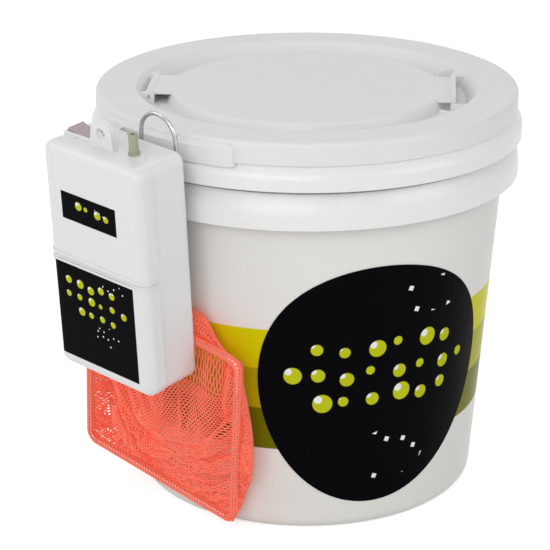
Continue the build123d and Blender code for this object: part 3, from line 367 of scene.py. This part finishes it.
def specks(finish, across, up, cell, size, seed, share):
    """Small turned squares, in only some of the cells."""
    join = finish.add("ShaderNodeCombineXYZ")
    finish.join(finish.math("ADD", across, seed), join.inputs[0])
    finish.join(up, join.inputs[1])
    turn = finish.add("ShaderNodeMapping")
    turn.inputs["Rotation"].default_value = (0, 0, 0.32)
    finish.join(join.outputs[0], turn.inputs["Vector"])
    pattern = finish.add("ShaderNodeTexVoronoi", voronoi_dimensions="2D", distance="CHEBYCHEV")
    pattern.inputs["Scale"].default_value = 1 / cell
    pattern.inputs["Randomness"].default_value = 0.7
    finish.join(turn.outputs[0], pattern.inputs["Vector"])
    split = finish.add("ShaderNodeSeparateColor")
    finish.join(pattern.outputs["Color"], split.inputs[0])
    few = finish.math("LESS_THAN", split.outputs[0], share)
    inside = finish.math("SUBTRACT", size / cell, pattern.outputs["Distance"])
    square = finish.spread(inside, -0.012, 0.012, 0.0, 1.0)
    return finish.math("MULTIPLY", square, few)


pail = moulded("printed_pail_plastic", PAIL_WHITE, 0.24, wander=0.012)
pail.shader.inputs["Specular IOR Level"].default_value = 0.02
apart = pail.add("ShaderNodeSeparateXYZ")
pail.join(pail.place, apart.inputs[0])
x, y, z = apart.outputs
ground = pail.shader.inputs["Base Color"].links[0].from_socket
ink = pail.math("MULTIPLY", edge(pail, z, LOW_BAND), pail.math("SUBTRACT", 1.0, edge(pail, z, BAND_TOP)))
band = pail.mix(edge(pail, z, MID_BAND), LOW_GREEN, MID_GREEN)
band = pail.mix(edge(pail, z, TOP_BAND), band, TOP_GREEN)
worn = pail.noise(9, 3)
band = pail.mix(pail.spread(worn, 0.35, 0.8, 0.0, 0.16), band, shade(TOP_GREEN, 1.15))
printed = pail.mix(ink, ground, band)

# the print is only on the outside, where the wall is wider than at its foot
squares = pail.math("ADD", pail.math("MULTIPLY", x, x), pail.math("MULTIPLY", y, y))
on_wall = pail.math("GREATER_THAN", pail.math("SQRT", squares), pail_r(0) + 0.1 * MM)
pail.colour(pail.mix(on_wall, ground, printed))
print("pail print:", len(pail.tree.nodes), "nodes")

# %% [markdown]
# The other hard pieces are plainer. The lid and hatch are a satin white that is a little greyer than the
# pail, the pump's case is the same plastic with a tighter grain, and the switch is a dusky rose. Foam is told
# by its packed beads, steel by its drawn streaks and the nozzle by its chalky olive.

# %% Finishes of the hard pieces
RIB_WHITE = (0.83, 0.825, 0.81)
LID_WHITE = (0.76, 0.76, 0.755)
PUMP_WHITE = (0.76, 0.765, 0.775)
SWITCH_ROSE = (0.36, 0.29, 0.315)
JACKET_BLACK, JACKET_COPPER = (0.02, 0.02, 0.022), (0.52, 0.33, 0.12)
JACKET_STRIPE_TOP = 0.142
BEADS_PER_METRE = 330
lid_plastic = moulded("lid_plastic", LID_WHITE, 0.42, grain=2600, grain_depth=0.00003, wander=0.015)
rib_plastic = moulded("rib_plastic", RIB_WHITE, 0.26, wander=0.012)
pump_plastic = moulded("pump_plastic", PUMP_WHITE, 0.34, grain=3000, grain_depth=0.00003, wander=0.02)
rose_plastic = moulded("rose_switch_plastic", SWITCH_ROSE, 0.25, wander=0.05)
olive_plastic = moulded("olive_nozzle_plastic", (0.36, 0.37, 0.26), 0.5, grain=1500, wander=0.08)
dark_plastic = moulded("inner_plastic", (0.06, 0.062, 0.066), 0.45)
rubber = moulded("seal_rubber", (0.26, 0.265, 0.27), 0.7, grain=1800, grain_depth=0.00005)


def foam(name, colour):
    """Moulded bead foam: round beads pressed together, with shade painted into the gaps between them."""
    finish = Finish(name, colour, 0.85, specular=0.3)
    bead = finish.add("ShaderNodeTexVoronoi")
    bead.inputs["Scale"].default_value = BEADS_PER_METRE
    finish.join(finish.place, bead.inputs["Vector"])
    bead_gap_shade = finish.spread(bead.outputs["Distance"], 0.2, 0.7, 0.0, 1.0)
    # painted shade: each bead darkens towards its edge, where the bump sinks between beads
    finish.colour(finish.mix(bead_gap_shade, colour, shade(colour, 0.86)))
    finish.bump(finish.math("MULTIPLY", bead.outputs["Distance"], -1.0), 0.0006)
    return finish


def drawn_steel(name, colour, roughness, scale=400):
    """Bright metal with fine drawing marks and a few dull patches."""
    finish = Finish(name, colour, roughness, metallic=1.0)
    marks = finish.noise(scale, 3, stretch=(1, 1, 0.08))
    finish.colour(finish.mix(marks, shade(colour, 0.85), shade(colour, 1.08)))
    finish.rough(finish.spread(finish.noise(90, 4), 0.3, 0.75, roughness * 0.6, roughness * 1.5))
    finish.bump(marks, 0.00001)
    return finish


bead_foam = foam("bead_foam", (0.80, 0.80, 0.77))
steel = drawn_steel("drawn_steel", (0.62, 0.62, 0.63), 0.3)
bright_wire = drawn_steel("bright_net_wire", (0.50, 0.50, 0.49), 0.20, 900)
clear_tube = moulded("clear_tube", (0.62, 0.66, 0.64), 0.2, coat=0.5)

jacket = Finish("cell_jacket", JACKET_BLACK, 0.32, coat=0.3)
along = jacket.add("ShaderNodeSeparateXYZ")
jacket.join(jacket.place, along.inputs[0])
stripe = jacket.math("LESS_THAN", along.outputs[2], JACKET_STRIPE_TOP)
jacket.colour(jacket.mix(stripe, JACKET_BLACK, JACKET_COPPER))
jacket.bump(jacket.noise(800, 2), 0.00002)

finish_of = {
    "bucket_shell": pail,
    "upper_stacking_rib": rib_plastic,
    "lower_stacking_rib": rib_plastic,
    "foam_liner": bead_foam,
    "lid": lid_plastic,
    "pump_hanger": lid_plastic,
    "hatch": lid_plastic,
    "rim_gasket": rubber,
    "lid_insulation": bead_foam,
    "hatch_insulation": bead_foam,
    "hinge_pin": steel,
    "pump_back_housing": pump_plastic,
    "pump_front_cover": pump_plastic,
    "battery_cover": pump_plastic,
    "switch_bezel": pump_plastic,
    "switch_rocker": rose_plastic,
    "battery_left": jacket,
    "battery_right": jacket,
    "terminal_plates": steel,
    "contact_bridge": steel,
    "motor": steel,
    "crank": dark_plastic,
    "drive_rod": dark_plastic,
    "diaphragm": rubber,
    "pump_head": dark_plastic,
    "air_nozzle": olive_plastic,
    "air_tube": clear_tube,
    "housing_screws": steel,
    "pump_clip": steel,
    "clip_rivets": steel,
    "net_frame": bright_wire,
    "net_bag": rose_plastic,  # unseen, because the open mesh takes this node's place
}
for name, node in nodes.items():
    finish = finish_of[name]
    if not node.material_slots:
        node.data.materials.append(None)
    for place in node.material_slots:
        place.material = finish.material
print("finished nodes:", len(nodes))

# %% [markdown]
# On the front right the wall carries a dark panel, a film heat-pressed onto the plastic. It is a circle that
# three soft corners pull into an egg. The disc is drawn flat and cut into rings by insets, so that it can
# bend. Then it is rolled onto the tapered wall: a distance on the flat film becomes an angle round the pail's
# axis. Its print is plain bubbles.

# %% The front panel
UNROLL_R = 0.131
PANEL_MIDDLE, PANEL_R = (0.0535, 0.1113), 0.0900
PANEL_LIFT, PANEL_T = 0.2 * MM, 0.15 * MM
PANEL_RINGS = 13
CORNER_SWELL, CORNER_TURN = 2.2 * MM, 0.238
BUBBLE_FILL = 0.36
PALE_SHARE = 0.92


def select_only(piece):
    """Makes one object the selected and the active one."""
    bpy.ops.object.select_all(action="DESELECT")
    piece.select_set(True)
    bpy.context.view_layer.objects.active = piece


def apply_all(piece):
    """Applies each modifier in turn."""
    select_only(piece)
    for modifier in list(piece.modifiers):
        bpy.ops.object.modifier_apply(modifier=modifier.name)


bpy.ops.mesh.primitive_circle_add(vertices=120, radius=PANEL_R, fill_type="NGON")
panel = bpy.context.object
panel.name = "front_panel"
bpy.ops.object.mode_set(mode="EDIT")
bpy.ops.mesh.select_all(action="SELECT")
for ring in range(PANEL_RINGS):
    bpy.ops.mesh.inset(thickness=PANEL_R / (PANEL_RINGS + 1), use_boundary=True)
bpy.ops.mesh.poke()
bpy.ops.object.mode_set(mode="OBJECT")
sheet_uv = panel.data.uv_layers.active
for vertex in panel.data.vertices:
    flat_x, flat_y = vertex.co.x, vertex.co.y
    turn = math.atan2(flat_y, flat_x)
    swell = 1 + CORNER_SWELL / PANEL_R * math.cos(3 * (turn - CORNER_TURN))
    vertex.co = (flat_x * swell + PANEL_MIDDLE[0], flat_y * swell + PANEL_MIDDLE[1], 0)
for loop in panel.data.loops:
    sheet_uv.data[loop.index].uv = panel.data.vertices[loop.vertex_index].co.xy
for vertex in panel.data.vertices:
    angle, height = vertex.co.x / UNROLL_R, vertex.co.y
    reach = pail_r(height) + PANEL_LIFT
    vertex.co = (reach * math.sin(angle), -reach * math.cos(angle), height)
film_body = panel.modifiers.new("film", "SOLIDIFY")
film_body.thickness = PANEL_T
film_body.offset = 1.0
apply_all(panel)
bpy.ops.object.shade_smooth_by_angle(angle=math.radians(40))

panel_film = Finish("front_panel_film", INK_BLACK, 0.30, specular=0.012)
flat = panel_film.add("ShaderNodeSeparateXYZ")
panel_film.join(panel_film.add("ShaderNodeTexCoord").outputs["UV"], flat.inputs[0])
across, up = flat.outputs[0], flat.outputs[1]
disc, cap, luck = bubbles(panel_film, across, up, 0.0195, BUBBLE_FILL, 0.113, (0.056, 0.118), (0.070, 0.038))
art = panel_film.mix(disc, INK_BLACK, panel_film.mix(luck, shade(BUBBLE_GREEN, PALE_SHARE), BUBBLE_GREEN))
art = panel_film.mix(cap, art, BUBBLE_WHITE)
dots = specks(panel_film, across, up, 0.0125, 0.0017, 0.031, 0.42)
upper = inside_oval(panel_film, across, up, (0.092, 0.172), (0.034, 0.013))
lower = inside_oval(panel_film, across, up, (0.062, 0.056), (0.030, 0.020))
dots = panel_film.math("MULTIPLY", dots, panel_film.math("MAXIMUM", upper, lower))
art = panel_film.mix(dots, art, BUBBLE_WHITE)
panel_film.colour(art)
panel_film.rough(panel_film.spread(panel_film.noise(60, 5), 0.3, 0.75, 0.24, 0.38))
panel_film.bump(panel_film.noise(700, 2), 0.00001)
panel.data.materials.append(panel_film.material)
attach(panel, "pail")
print("front panel:", len(panel.data.polygons), "faces")

# %% [markdown]
# Two labels sit on the pump: a small one on the cover and a tall one on the battery door. Each is a thin
# sheet of black film. It is drawn flat on the bench, cut into a grid so that it can follow the rounded edge
# of the case, carried to the pump, pressed on with a shrinkwrap, and given its thickness last. The films are
# printed with plain bubbles.

# %% Pump labels
LABEL_REACH = 22.4
LABEL_LIFT, LABEL_T = 0.06, 0.12
LABEL_CUTS = 24


def film(name, left, right, foot, top, cover, finish, body):
    """A label of thin film, pressed onto a cover of the pump, with its edges in millimetres on the bench."""
    width, height = right - left, top - foot
    bpy.ops.object.select_all(action="DESELECT")
    bpy.ops.mesh.primitive_grid_add(x_subdivisions=LABEL_CUTS, y_subdivisions=LABEL_CUTS, size=1)
    label = bpy.context.object
    label.name = name
    label.scale = (width * MM, height * MM, 1)
    label.location = ((left + right) / 2 * MM, (foot + top) / 2 * MM, LABEL_REACH * MM)
    bpy.ops.object.transform_apply(location=True, rotation=True, scale=True)
    label.data.transform(pump_bench)
    press = label.modifiers.new("press", "SHRINKWRAP")
    press.target = nodes[cover]
    press.wrap_method = "NEAREST_SURFACEPOINT"
    press.wrap_mode = "ABOVE_SURFACE"
    press.offset = LABEL_LIFT * MM
    thick = label.modifiers.new("thickness", "SOLIDIFY")
    thick.thickness = LABEL_T * MM
    thick.offset = 1.0
    apply_all(label)
    label.data.materials.append(finish.material)
    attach(label, body)
    print(name, "faces", len(label.data.polygons))


def label_finish(name, width, height, cell, middle, half, speck_ovals):
    """Black film with plain bubbles, laid out in millimetres from the label's middle."""
    finish = Finish(name, INK_BLACK, 0.45, specular=0.015)
    uv = finish.add("ShaderNodeTexCoord").outputs["UV"]
    apart = finish.add("ShaderNodeSeparateXYZ")
    finish.join(uv, apart.inputs[0])
    across = finish.math("MULTIPLY", finish.math("SUBTRACT", apart.outputs[0], 0.5), width * MM)
    up = finish.math("MULTIPLY", finish.math("SUBTRACT", apart.outputs[1], 0.5), height * MM)
    middle, half = (tuple(v * MM for v in pair) for pair in (middle, half))
    disc, cap, luck = bubbles(finish, across, up, cell * MM, BUBBLE_FILL, 0.237, middle, half)
    green = finish.mix(luck, shade(BUBBLE_GREEN, PALE_SHARE), BUBBLE_GREEN)
    art = finish.mix(disc, INK_BLACK, green)
    art = finish.mix(cap, art, BUBBLE_WHITE)
    dots = specks(finish, across, up, 4.6 * MM, 0.55 * MM, 0.031, 0.5)
    for oval in speck_ovals:
        place, size = (tuple(v * MM for v in pair) for pair in oval)
        spot = inside_oval(finish, across, up, place, size)
        art = finish.mix(finish.math("MULTIPLY", dots, spot), art, BUBBLE_WHITE)
    finish.colour(art)
    finish.rough(finish.spread(finish.noise(70, 5), 0.3, 0.75, 0.22, 0.36))
    finish.bump(finish.noise(500, 2), 0.00001)
    return finish


small_specks = [((14, 4), (8, 4)), ((-8, 4), (6, 4))]
small_print = label_finish("small_label_film", 51.6, 20.0, 9.0, (0, 0), (19, 5.5), small_specks)
tall_specks = [((18, 28), (10, 6)), ((10, -12), (12, 9))]
tall_print = label_finish("tall_label_film", 74.8, 74.0, 10.5, (-2, 14), (33, 17), tall_specks)
film("small_label", -29.6, 22.0, 31.5, 51.5, "pump_front_cover", small_print, "pump")
film("tall_label", -41.4, 33.4, -75.0, -1.6, "battery_cover", tall_print, "battery_door")

# %% [markdown]
# The net bag is a coral mesh, sewn round the wire hoop and squeezed flat between the pump and the pail. Loose
# cloth is best left to gravity: a pouch is drawn behind the hoop, its rim is pinned to the wire, and a cloth
# simulation lets it grow and fall against the pail's wall, which makes the folds. What hangs out too far is
# eased back to the bag's outline. The open mesh comes afterwards: a net of six-sided holes is laid over the
# fallen cloth, and each thread becomes a thin square rod.

# %% The fallen cloth
HOOP_HALF_W, HOOP_HALF_H, HOOP_CORNER = 0.072, 0.066, 0.007
POUCH_COLUMNS, POUCH_ROWS = 66, 60
POUCH_DEPTH = 0.030
FOLD_DEPTH, SIDE_FOLD_DEPTH = 0.008, 0.006
SIDE_ROOM, SIDE_ROOM_MORE = 0.004, 0.0125
TOP_ROOM, TOP_ROOM_MORE = 0.003, 0.024
WALL_GAP = 0.0030
TOUCH, SELF_TOUCH = 0.0008, 0.0009
SOFT_EDGE = 0.010
FALL_FRAMES = 36
WALL_STEPS, WALL_LOW, WALL_HIGH = 96, -0.05, 0.30
FRONT_HALF, FRONT_OUT = 0.2, 0.0006


def ease(t):
    """Smooth step from 0 to 1."""
    t = min(1.0, max(0.0, t))
    return t * t * (3 - 2 * t)


def side_room(up):
    """How far the cloth may hang out beyond the hoop's right side, by height from -1 to 1."""
    return SIDE_ROOM + SIDE_ROOM_MORE * math.sin(math.pi * min(1.0, max(0.0, (0.8 - up) / 1.75)))


def top_room(right):
    """How far the cloth may puff up beyond the hoop's top, by place across from -1 to 1."""
    return TOP_ROOM + TOP_ROOM_MORE * ease((0.87 - right) / 0.42)


def pouch_point(u, v):
    """Place of a point of the cloth on the drawn pouch, on the bench, with u and v from -1 to 1."""
    far = max(abs(u), abs(v), 1e-6)
    inward = 1 - far
    right, up = u / far, v / far
    size = 1 - inward * 0.6 if inward < 0.2 else 1.1 * far
    side_bulge = side_room(up) * max(0.0, right) ** 4
    top_bulge = 1.2 * top_room(right) * max(0.0, up) ** 4
    swell = math.sin(math.pi * min(1.0, inward / 0.45)) ** 0.8
    x = right * HOOP_HALF_W * size + side_bulge * swell
    y = up * HOOP_HALF_H * size + top_bulge * swell
    depth = POUCH_DEPTH * math.sin(math.pi / 2 * min(1.0, inward / 0.35))
    fold = FOLD_DEPTH * math.sin(u * 7 + v * 4 + 1) * math.sin(v * 6 - u * 3) * min(1.0, inward * 4)
    fold += SIDE_FOLD_DEPTH * math.sin(v * 13 + u * 9) * ease(-u * 2) * min(1.0, inward * 6)
    return x, y, fold - depth


def clear_of_pail(point):
    """Moves a point straight out from the pail's axis until it is clear of the wall by a gap."""
    flat = Vector((point.x, point.y, 0))
    least = pail_r(point.z) + WALL_GAP
    if flat.length < least:
        flat *= least / flat.length
        return Vector((flat.x, flat.y, point.z))
    return point


def behind_hoop(point):
    """Moves a point that is in front of the hoop's plane back onto it."""
    over = (point - NET_MIDDLE).dot(NET_OUT)
    return point - NET_OUT * over if over > 0 else point


def eased_back(value, most):
    """A value that never passes its most, with the last stretch before it pressed together softly."""
    over = value - (most - SOFT_EDGE)
    return value if over <= 0 else most - SOFT_EDGE + SOFT_EDGE * math.tanh(over / SOFT_EDGE)


def inside_outline(point):
    """Brings a point back to the bag's outline, as the camera sees both against the hoop's plane."""
    x, y, z = to_net @ point
    eye = to_net @ camera.location
    share = z / (z - eye.z)
    seen_x, seen_y = x + (eye.x - x) * share, y + (eye.y - y) * share
    most_x = HOOP_HALF_W + side_room(seen_y / HOOP_HALF_H)
    most_y = HOOP_HALF_H + top_room(seen_x / HOOP_HALF_W)
    x += -eased_back(-eased_back(seen_x, most_x), HOOP_HALF_W) - seen_x
    y += -eased_back(-eased_back(seen_y, most_y), HOOP_HALF_H) - seen_y
    return net_bench @ Vector((x, y, z))


def new_mesh(name, points, faces):
    """Object at the origin from points and faces."""
    mesh = bpy.data.meshes.new(name)
    mesh.from_pydata([tuple(p) for p in points], [], faces)
    mesh.update()
    piece = bpy.data.objects.new(name, mesh)
    bpy.context.scene.collection.objects.link(piece)
    return piece


def block(piece):
    """Makes a helper surface that the cloth can't cross, from the side that its faces look to."""
    select_only(piece)
    piece.modifiers.new("block", "COLLISION")
    piece.collision.thickness_outer = TOUCH
    piece.collision.use_culling = True
    piece.collision.cloth_friction = 8
    return piece


def on_round(z, turn):
    """Point of the tapered wall at a height and a turn from the front."""
    return Vector((pail_r(z) * math.sin(turn), -pail_r(z) * math.cos(turn), z))


def fall(piece, pinned, frames):
    """Lets the cloth fall between the pail and the hoop's plane and keeps the shape that it ends in."""
    steps = WALL_STEPS
    wall = [on_round(z, 2 * math.pi * k / steps) for z in (WALL_LOW, WALL_HIGH) for k in range(steps)]
    wall_faces = [(k, (k + 1) % steps, steps + (k + 1) % steps, steps + k) for k in range(steps)]
    pail_block = block(new_mesh("pail_block", wall, wall_faces))
    corners = ((-1, -1), (-1, 1), (1, 1), (1, -1))
    sheet = [net_bench @ Vector((x * FRONT_HALF, y * FRONT_HALF, FRONT_OUT)) for x, y in corners]
    front_block = block(new_mesh("front_block", sheet, [(0, 1, 2, 3)]))
    group = piece.vertex_groups.new(name="sewn_rim")
    group.add(pinned, 1.0, "REPLACE")
    cloth = piece.modifiers.new("fall", "CLOTH")
    settings = cloth.settings
    settings.quality = 8
    settings.mass = 0.1
    settings.tension_stiffness = 14
    settings.compression_stiffness = 6
    settings.shear_stiffness = 3
    settings.bending_stiffness = 0.5
    settings.air_damping = 2
    settings.vertex_group_mass = "sewn_rim"
    settings.shrink_min = -0.32
    cloth.collision_settings.distance_min = TOUCH
    cloth.collision_settings.collision_quality = 3
    cloth.collision_settings.use_self_collision = True
    cloth.collision_settings.self_distance_min = SELF_TOUCH
    scene = bpy.context.scene
    scene.frame_start, scene.frame_end = 1, frames
    cloth.point_cache.frame_start, cloth.point_cache.frame_end = 1, frames
    for step in range(1, frames + 1):
        scene.frame_set(step)
    apply_all(piece)
    for helper in (pail_block, front_block):
        bpy.data.objects.remove(helper)
    scene.frame_set(1)


points, faces, rim = [], [], []
for row in range(POUCH_ROWS + 1):
    for column in range(POUCH_COLUMNS + 1):
        u, v = 2 * column / POUCH_COLUMNS - 1, 2 * row / POUCH_ROWS - 1
        spot = net_bench @ Vector(pouch_point(u, v))
        on_rim = row in (0, POUCH_ROWS) or column in (0, POUCH_COLUMNS)
        points.append(spot if on_rim else behind_hoop(clear_of_pail(spot)))
        if on_rim:
            rim.append(len(points) - 1)
        if row and column:
            a = len(points) - 1
            faces.append((a - POUCH_COLUMNS - 2, a - POUCH_COLUMNS - 1, a, a - 1))
sewn = set(rim)
to_net = net_bench.inverted()
cloth_shape = new_mesh("cloth_shape", points, faces)
fall(cloth_shape, rim, FALL_FRAMES)
fallen = []
for index, vertex in enumerate(cloth_shape.data.vertices):
    spot = vertex.co.copy() if index in sewn else inside_outline(vertex.co)
    fallen.append(clear_of_pail(behind_hoop(spot)))
cloth_area = sum(face.area for face in cloth_shape.data.polygons)
bpy.data.objects.remove(cloth_shape)
lowest = min(spot.z for spot in fallen)
print("cloth: lowest", round(lowest, 4), "m, area", round(cloth_area, 4), "square metres")

# %% [markdown]
# The bag is deeper than the gap it hangs in, so its tail doubles back behind the left half. That second layer
# hangs a little behind the first one, where the wall curves away, and it makes the bag look dense there.

# %% The tail of the bag
TAIL_BEHIND, TAIL_WAVE, TAIL_LEAST = 0.007, 0.0025, 0.0012
TAIL_SHARE = 0.48
tail = []
for index, spot in enumerate(fallen):
    across = index % (POUCH_COLUMNS + 1) / POUCH_COLUMNS
    up = index // (POUCH_COLUMNS + 1) / POUCH_ROWS
    wave = TAIL_WAVE * math.sin(across * 23) * math.sin(up * 17)
    back = (TAIL_BEHIND + wave) * min(1.0, 8 * across, 8 * up, 8 * (1 - up))
    tail.append(clear_of_pail(spot - NET_OUT * (back + TAIL_LEAST)))

# %% The mesh of the net
HOLE_PITCH = 0.0029
THREAD = 0.00150
CLOTH_W, CLOTH_H = 0.235, 0.212
# the third coral is a painted shade, laid in fine flecks where the thread is twisted
CORAL, CORAL_FADED, CORAL_PAINTED_SHADE = (0.97, 0.110, 0.062), (1.0, 0.215, 0.140), (0.80, 0.06, 0.04)
# painted glow: the colour and strength of light that the thread gives off by itself
PAINTED_GLOW_COLOUR, PAINTED_GLOW_STRENGTH = (1.0, 0.30, 0.16, 1.0), 0.17


def on_grid(grid, u, v):
    """Point between the points of a grid of cloth, with u and v from 0 to 1."""
    column, row = u * POUCH_COLUMNS, v * POUCH_ROWS
    i, j = min(int(column), POUCH_COLUMNS - 1), min(int(row), POUCH_ROWS - 1)
    s, t = column - i, row - j
    a = j * (POUCH_COLUMNS + 1) + i
    low = grid[a].lerp(grid[a + 1], s)
    high = grid[a + POUCH_COLUMNS + 1].lerp(grid[a + POUCH_COLUMNS + 2], s)
    return low.lerp(high, t)


def on_cloth(u, v):
    """Point of the fallen cloth."""
    return on_grid(fallen, u, v)


def on_tail(u, v):
    """Point of the bag's tail, which lies behind the left part of the cloth."""
    return on_grid(tail, u * TAIL_SHARE, v)


def threaded(piece, thickness):
    """Turns the edges of a piece's cells into threads."""
    threads = piece.modifiers.new("threads", "WIREFRAME")
    threads.thickness = thickness
    threads.use_even_offset = False
    threads.use_boundary = True
    apply_all(piece)
    bpy.ops.object.shade_smooth()
    print(piece.name, len(piece.data.polygons), "faces")


def honeycomb(name, width, height, pitch, place):
    """Six-sided cells over a flat cloth, carried to their place by a function of u and v."""
    side = pitch / math.sqrt(3)
    made, points, cells = {}, [], []
    rows, columns = int(height / (1.5 * side)) + 1, int(width / pitch) + 1
    for row in range(rows):
        for column in range(columns):
            cx = (column + 0.5 * (row % 2)) * pitch
            cy = row * 1.5 * side
            ring = []
            for k in range(6):
                turn = math.radians(60 * k + 30)
                px = min(max(cx + side * math.cos(turn), 0.0), width)
                py = min(max(cy + side * math.sin(turn), 0.0), height)
                key = (round(px / side * 8), round(py / side * 8))
                if key not in made:
                    made[key] = len(points)
                    points.append(place(px / width, py / height))
                if not ring or made[key] != ring[-1]:
                    ring.append(made[key])
            ring = list(dict.fromkeys(ring))
            if len(ring) > 2:
                cells.append(ring)
    return new_mesh(name, points, cells)


net = honeycomb("net_mesh", CLOTH_W, CLOTH_H, HOLE_PITCH, on_cloth)
threaded(net, THREAD)
net_tail = honeycomb("net_tail", CLOTH_W * TAIL_SHARE, CLOTH_H, HOLE_PITCH, on_tail)
threaded(net_tail, THREAD)

coral = Finish("coral_net_thread", (0.95, 0.13, 0.08), 0.6, specular=0.35)
coral.shader.inputs["Sheen Weight"].default_value = 0.25
coral.shader.inputs["Sheen Roughness"].default_value = 0.4
twist_and_shade = coral.noise(2500, 2)
faded = coral.noise(35, 3)
tone = coral.mix(faded, CORAL, CORAL_FADED)
# painted shade: fine flecks darken the coral where the thread is twisted, and the same noise gives the thread
# its relief
coral.colour(coral.mix(coral.math("MULTIPLY", twist_and_shade, 0.25), tone, CORAL_PAINTED_SHADE))
coral.bump(twist_and_shade, 0.0002)
# painted glow: the dye is fluorescent, and a small steady emission makes the cloth brighter than the lamps
# alone light it
coral.shader.inputs["Emission Color"].default_value = PAINTED_GLOW_COLOUR
coral.shader.inputs["Emission Strength"].default_value = PAINTED_GLOW_STRENGTH
net.data.materials.append(coral.material)
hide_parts("net_bag")
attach(net, "net")
net_tail.data.materials.append(coral.material)
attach(net_tail, "net")

# %% [markdown]
# A hem, a sleeve of the same mesh, holds the bag to the wire all round the hoop. Where it passes behind the
# pump it is pressed flat against the pump's back.

# %% The hem round the wire
HEM_R = 0.0021
PUMP_BACK, PUMP_FOOT = -0.0226, -0.086


def hem_point(u, v):
    """Point of the hem's sleeve: u runs along the hoop and v round the wire."""
    w, h, r = HOOP_HALF_W, HOOP_HALF_H, HOOP_CORNER
    sides = [(w - r) * 2, (h - r) * 2, (w - r) * 2, (h - r) * 2]
    arc = math.pi / 2 * r
    run = u % 1.0 * (sum(sides) + 4 * arc)
    corners = [(w - r, -h + r, -90), (w - r, h - r, 0), (-w + r, h - r, 90), (-w + r, -h + r, 180)]
    heading = 0.0
    at = Vector((-w + r, -h))
    for length, (cx, cy, start) in zip(sides, corners):
        if run <= length:
            at = at + Vector((math.cos(heading), math.sin(heading))) * run
            break
        run -= length
        if run <= arc:
            turn = math.radians(start) + run / r
            at = Vector((cx + r * math.cos(turn), cy + r * math.sin(turn)))
            heading += run / r
            break
        run -= arc
        heading += math.pi / 2
        turn = math.radians(start + 90)
        at = Vector((cx + r * math.cos(turn), cy + r * math.sin(turn)))
    side = Vector((math.sin(heading), -math.cos(heading)))
    around = 2 * math.pi * v
    flat = at + side * HEM_R * math.cos(around)
    out = HEM_R * math.sin(around)
    spot = net_bench @ Vector((flat.x, flat.y, out))
    over = (spot - PUMP_MIDDLE).dot(PUMP_OUT) - PUMP_BACK
    beside = (spot - PUMP_MIDDLE).dot(PUMP_UP) > PUMP_FOOT
    if over > 0 and beside:
        spot = spot - PUMP_OUT * over
    return spot


HEM_LENGTH, HEM_ROUND = 0.540, 2 * math.pi * HEM_R
hem = honeycomb("net_hem", HEM_LENGTH, HEM_ROUND, HOLE_PITCH * 0.9, hem_point)
threaded(hem, THREAD)
hem.data.materials.append(coral.material)
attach(hem, "net")

# %% [markdown]
# Last, the size of the dressed object is set beside the size of the bare solids, and how much it grew along
# each axis is printed. Last, the size of the dressed object is set beside the size of the bare solids,
# because finishes and cloth may not make the real thing bigger.

# %% Finish
bpy.ops.object.select_all(action="DESELECT")
visual_box = [list(corner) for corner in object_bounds()]
grown = [
    round((visual_box[1][i] - visual_box[0][i]) - (cad_box[1][i] - cad_box[0][i]), 4)
    for i in range(3)
]
print("grew by", grown)
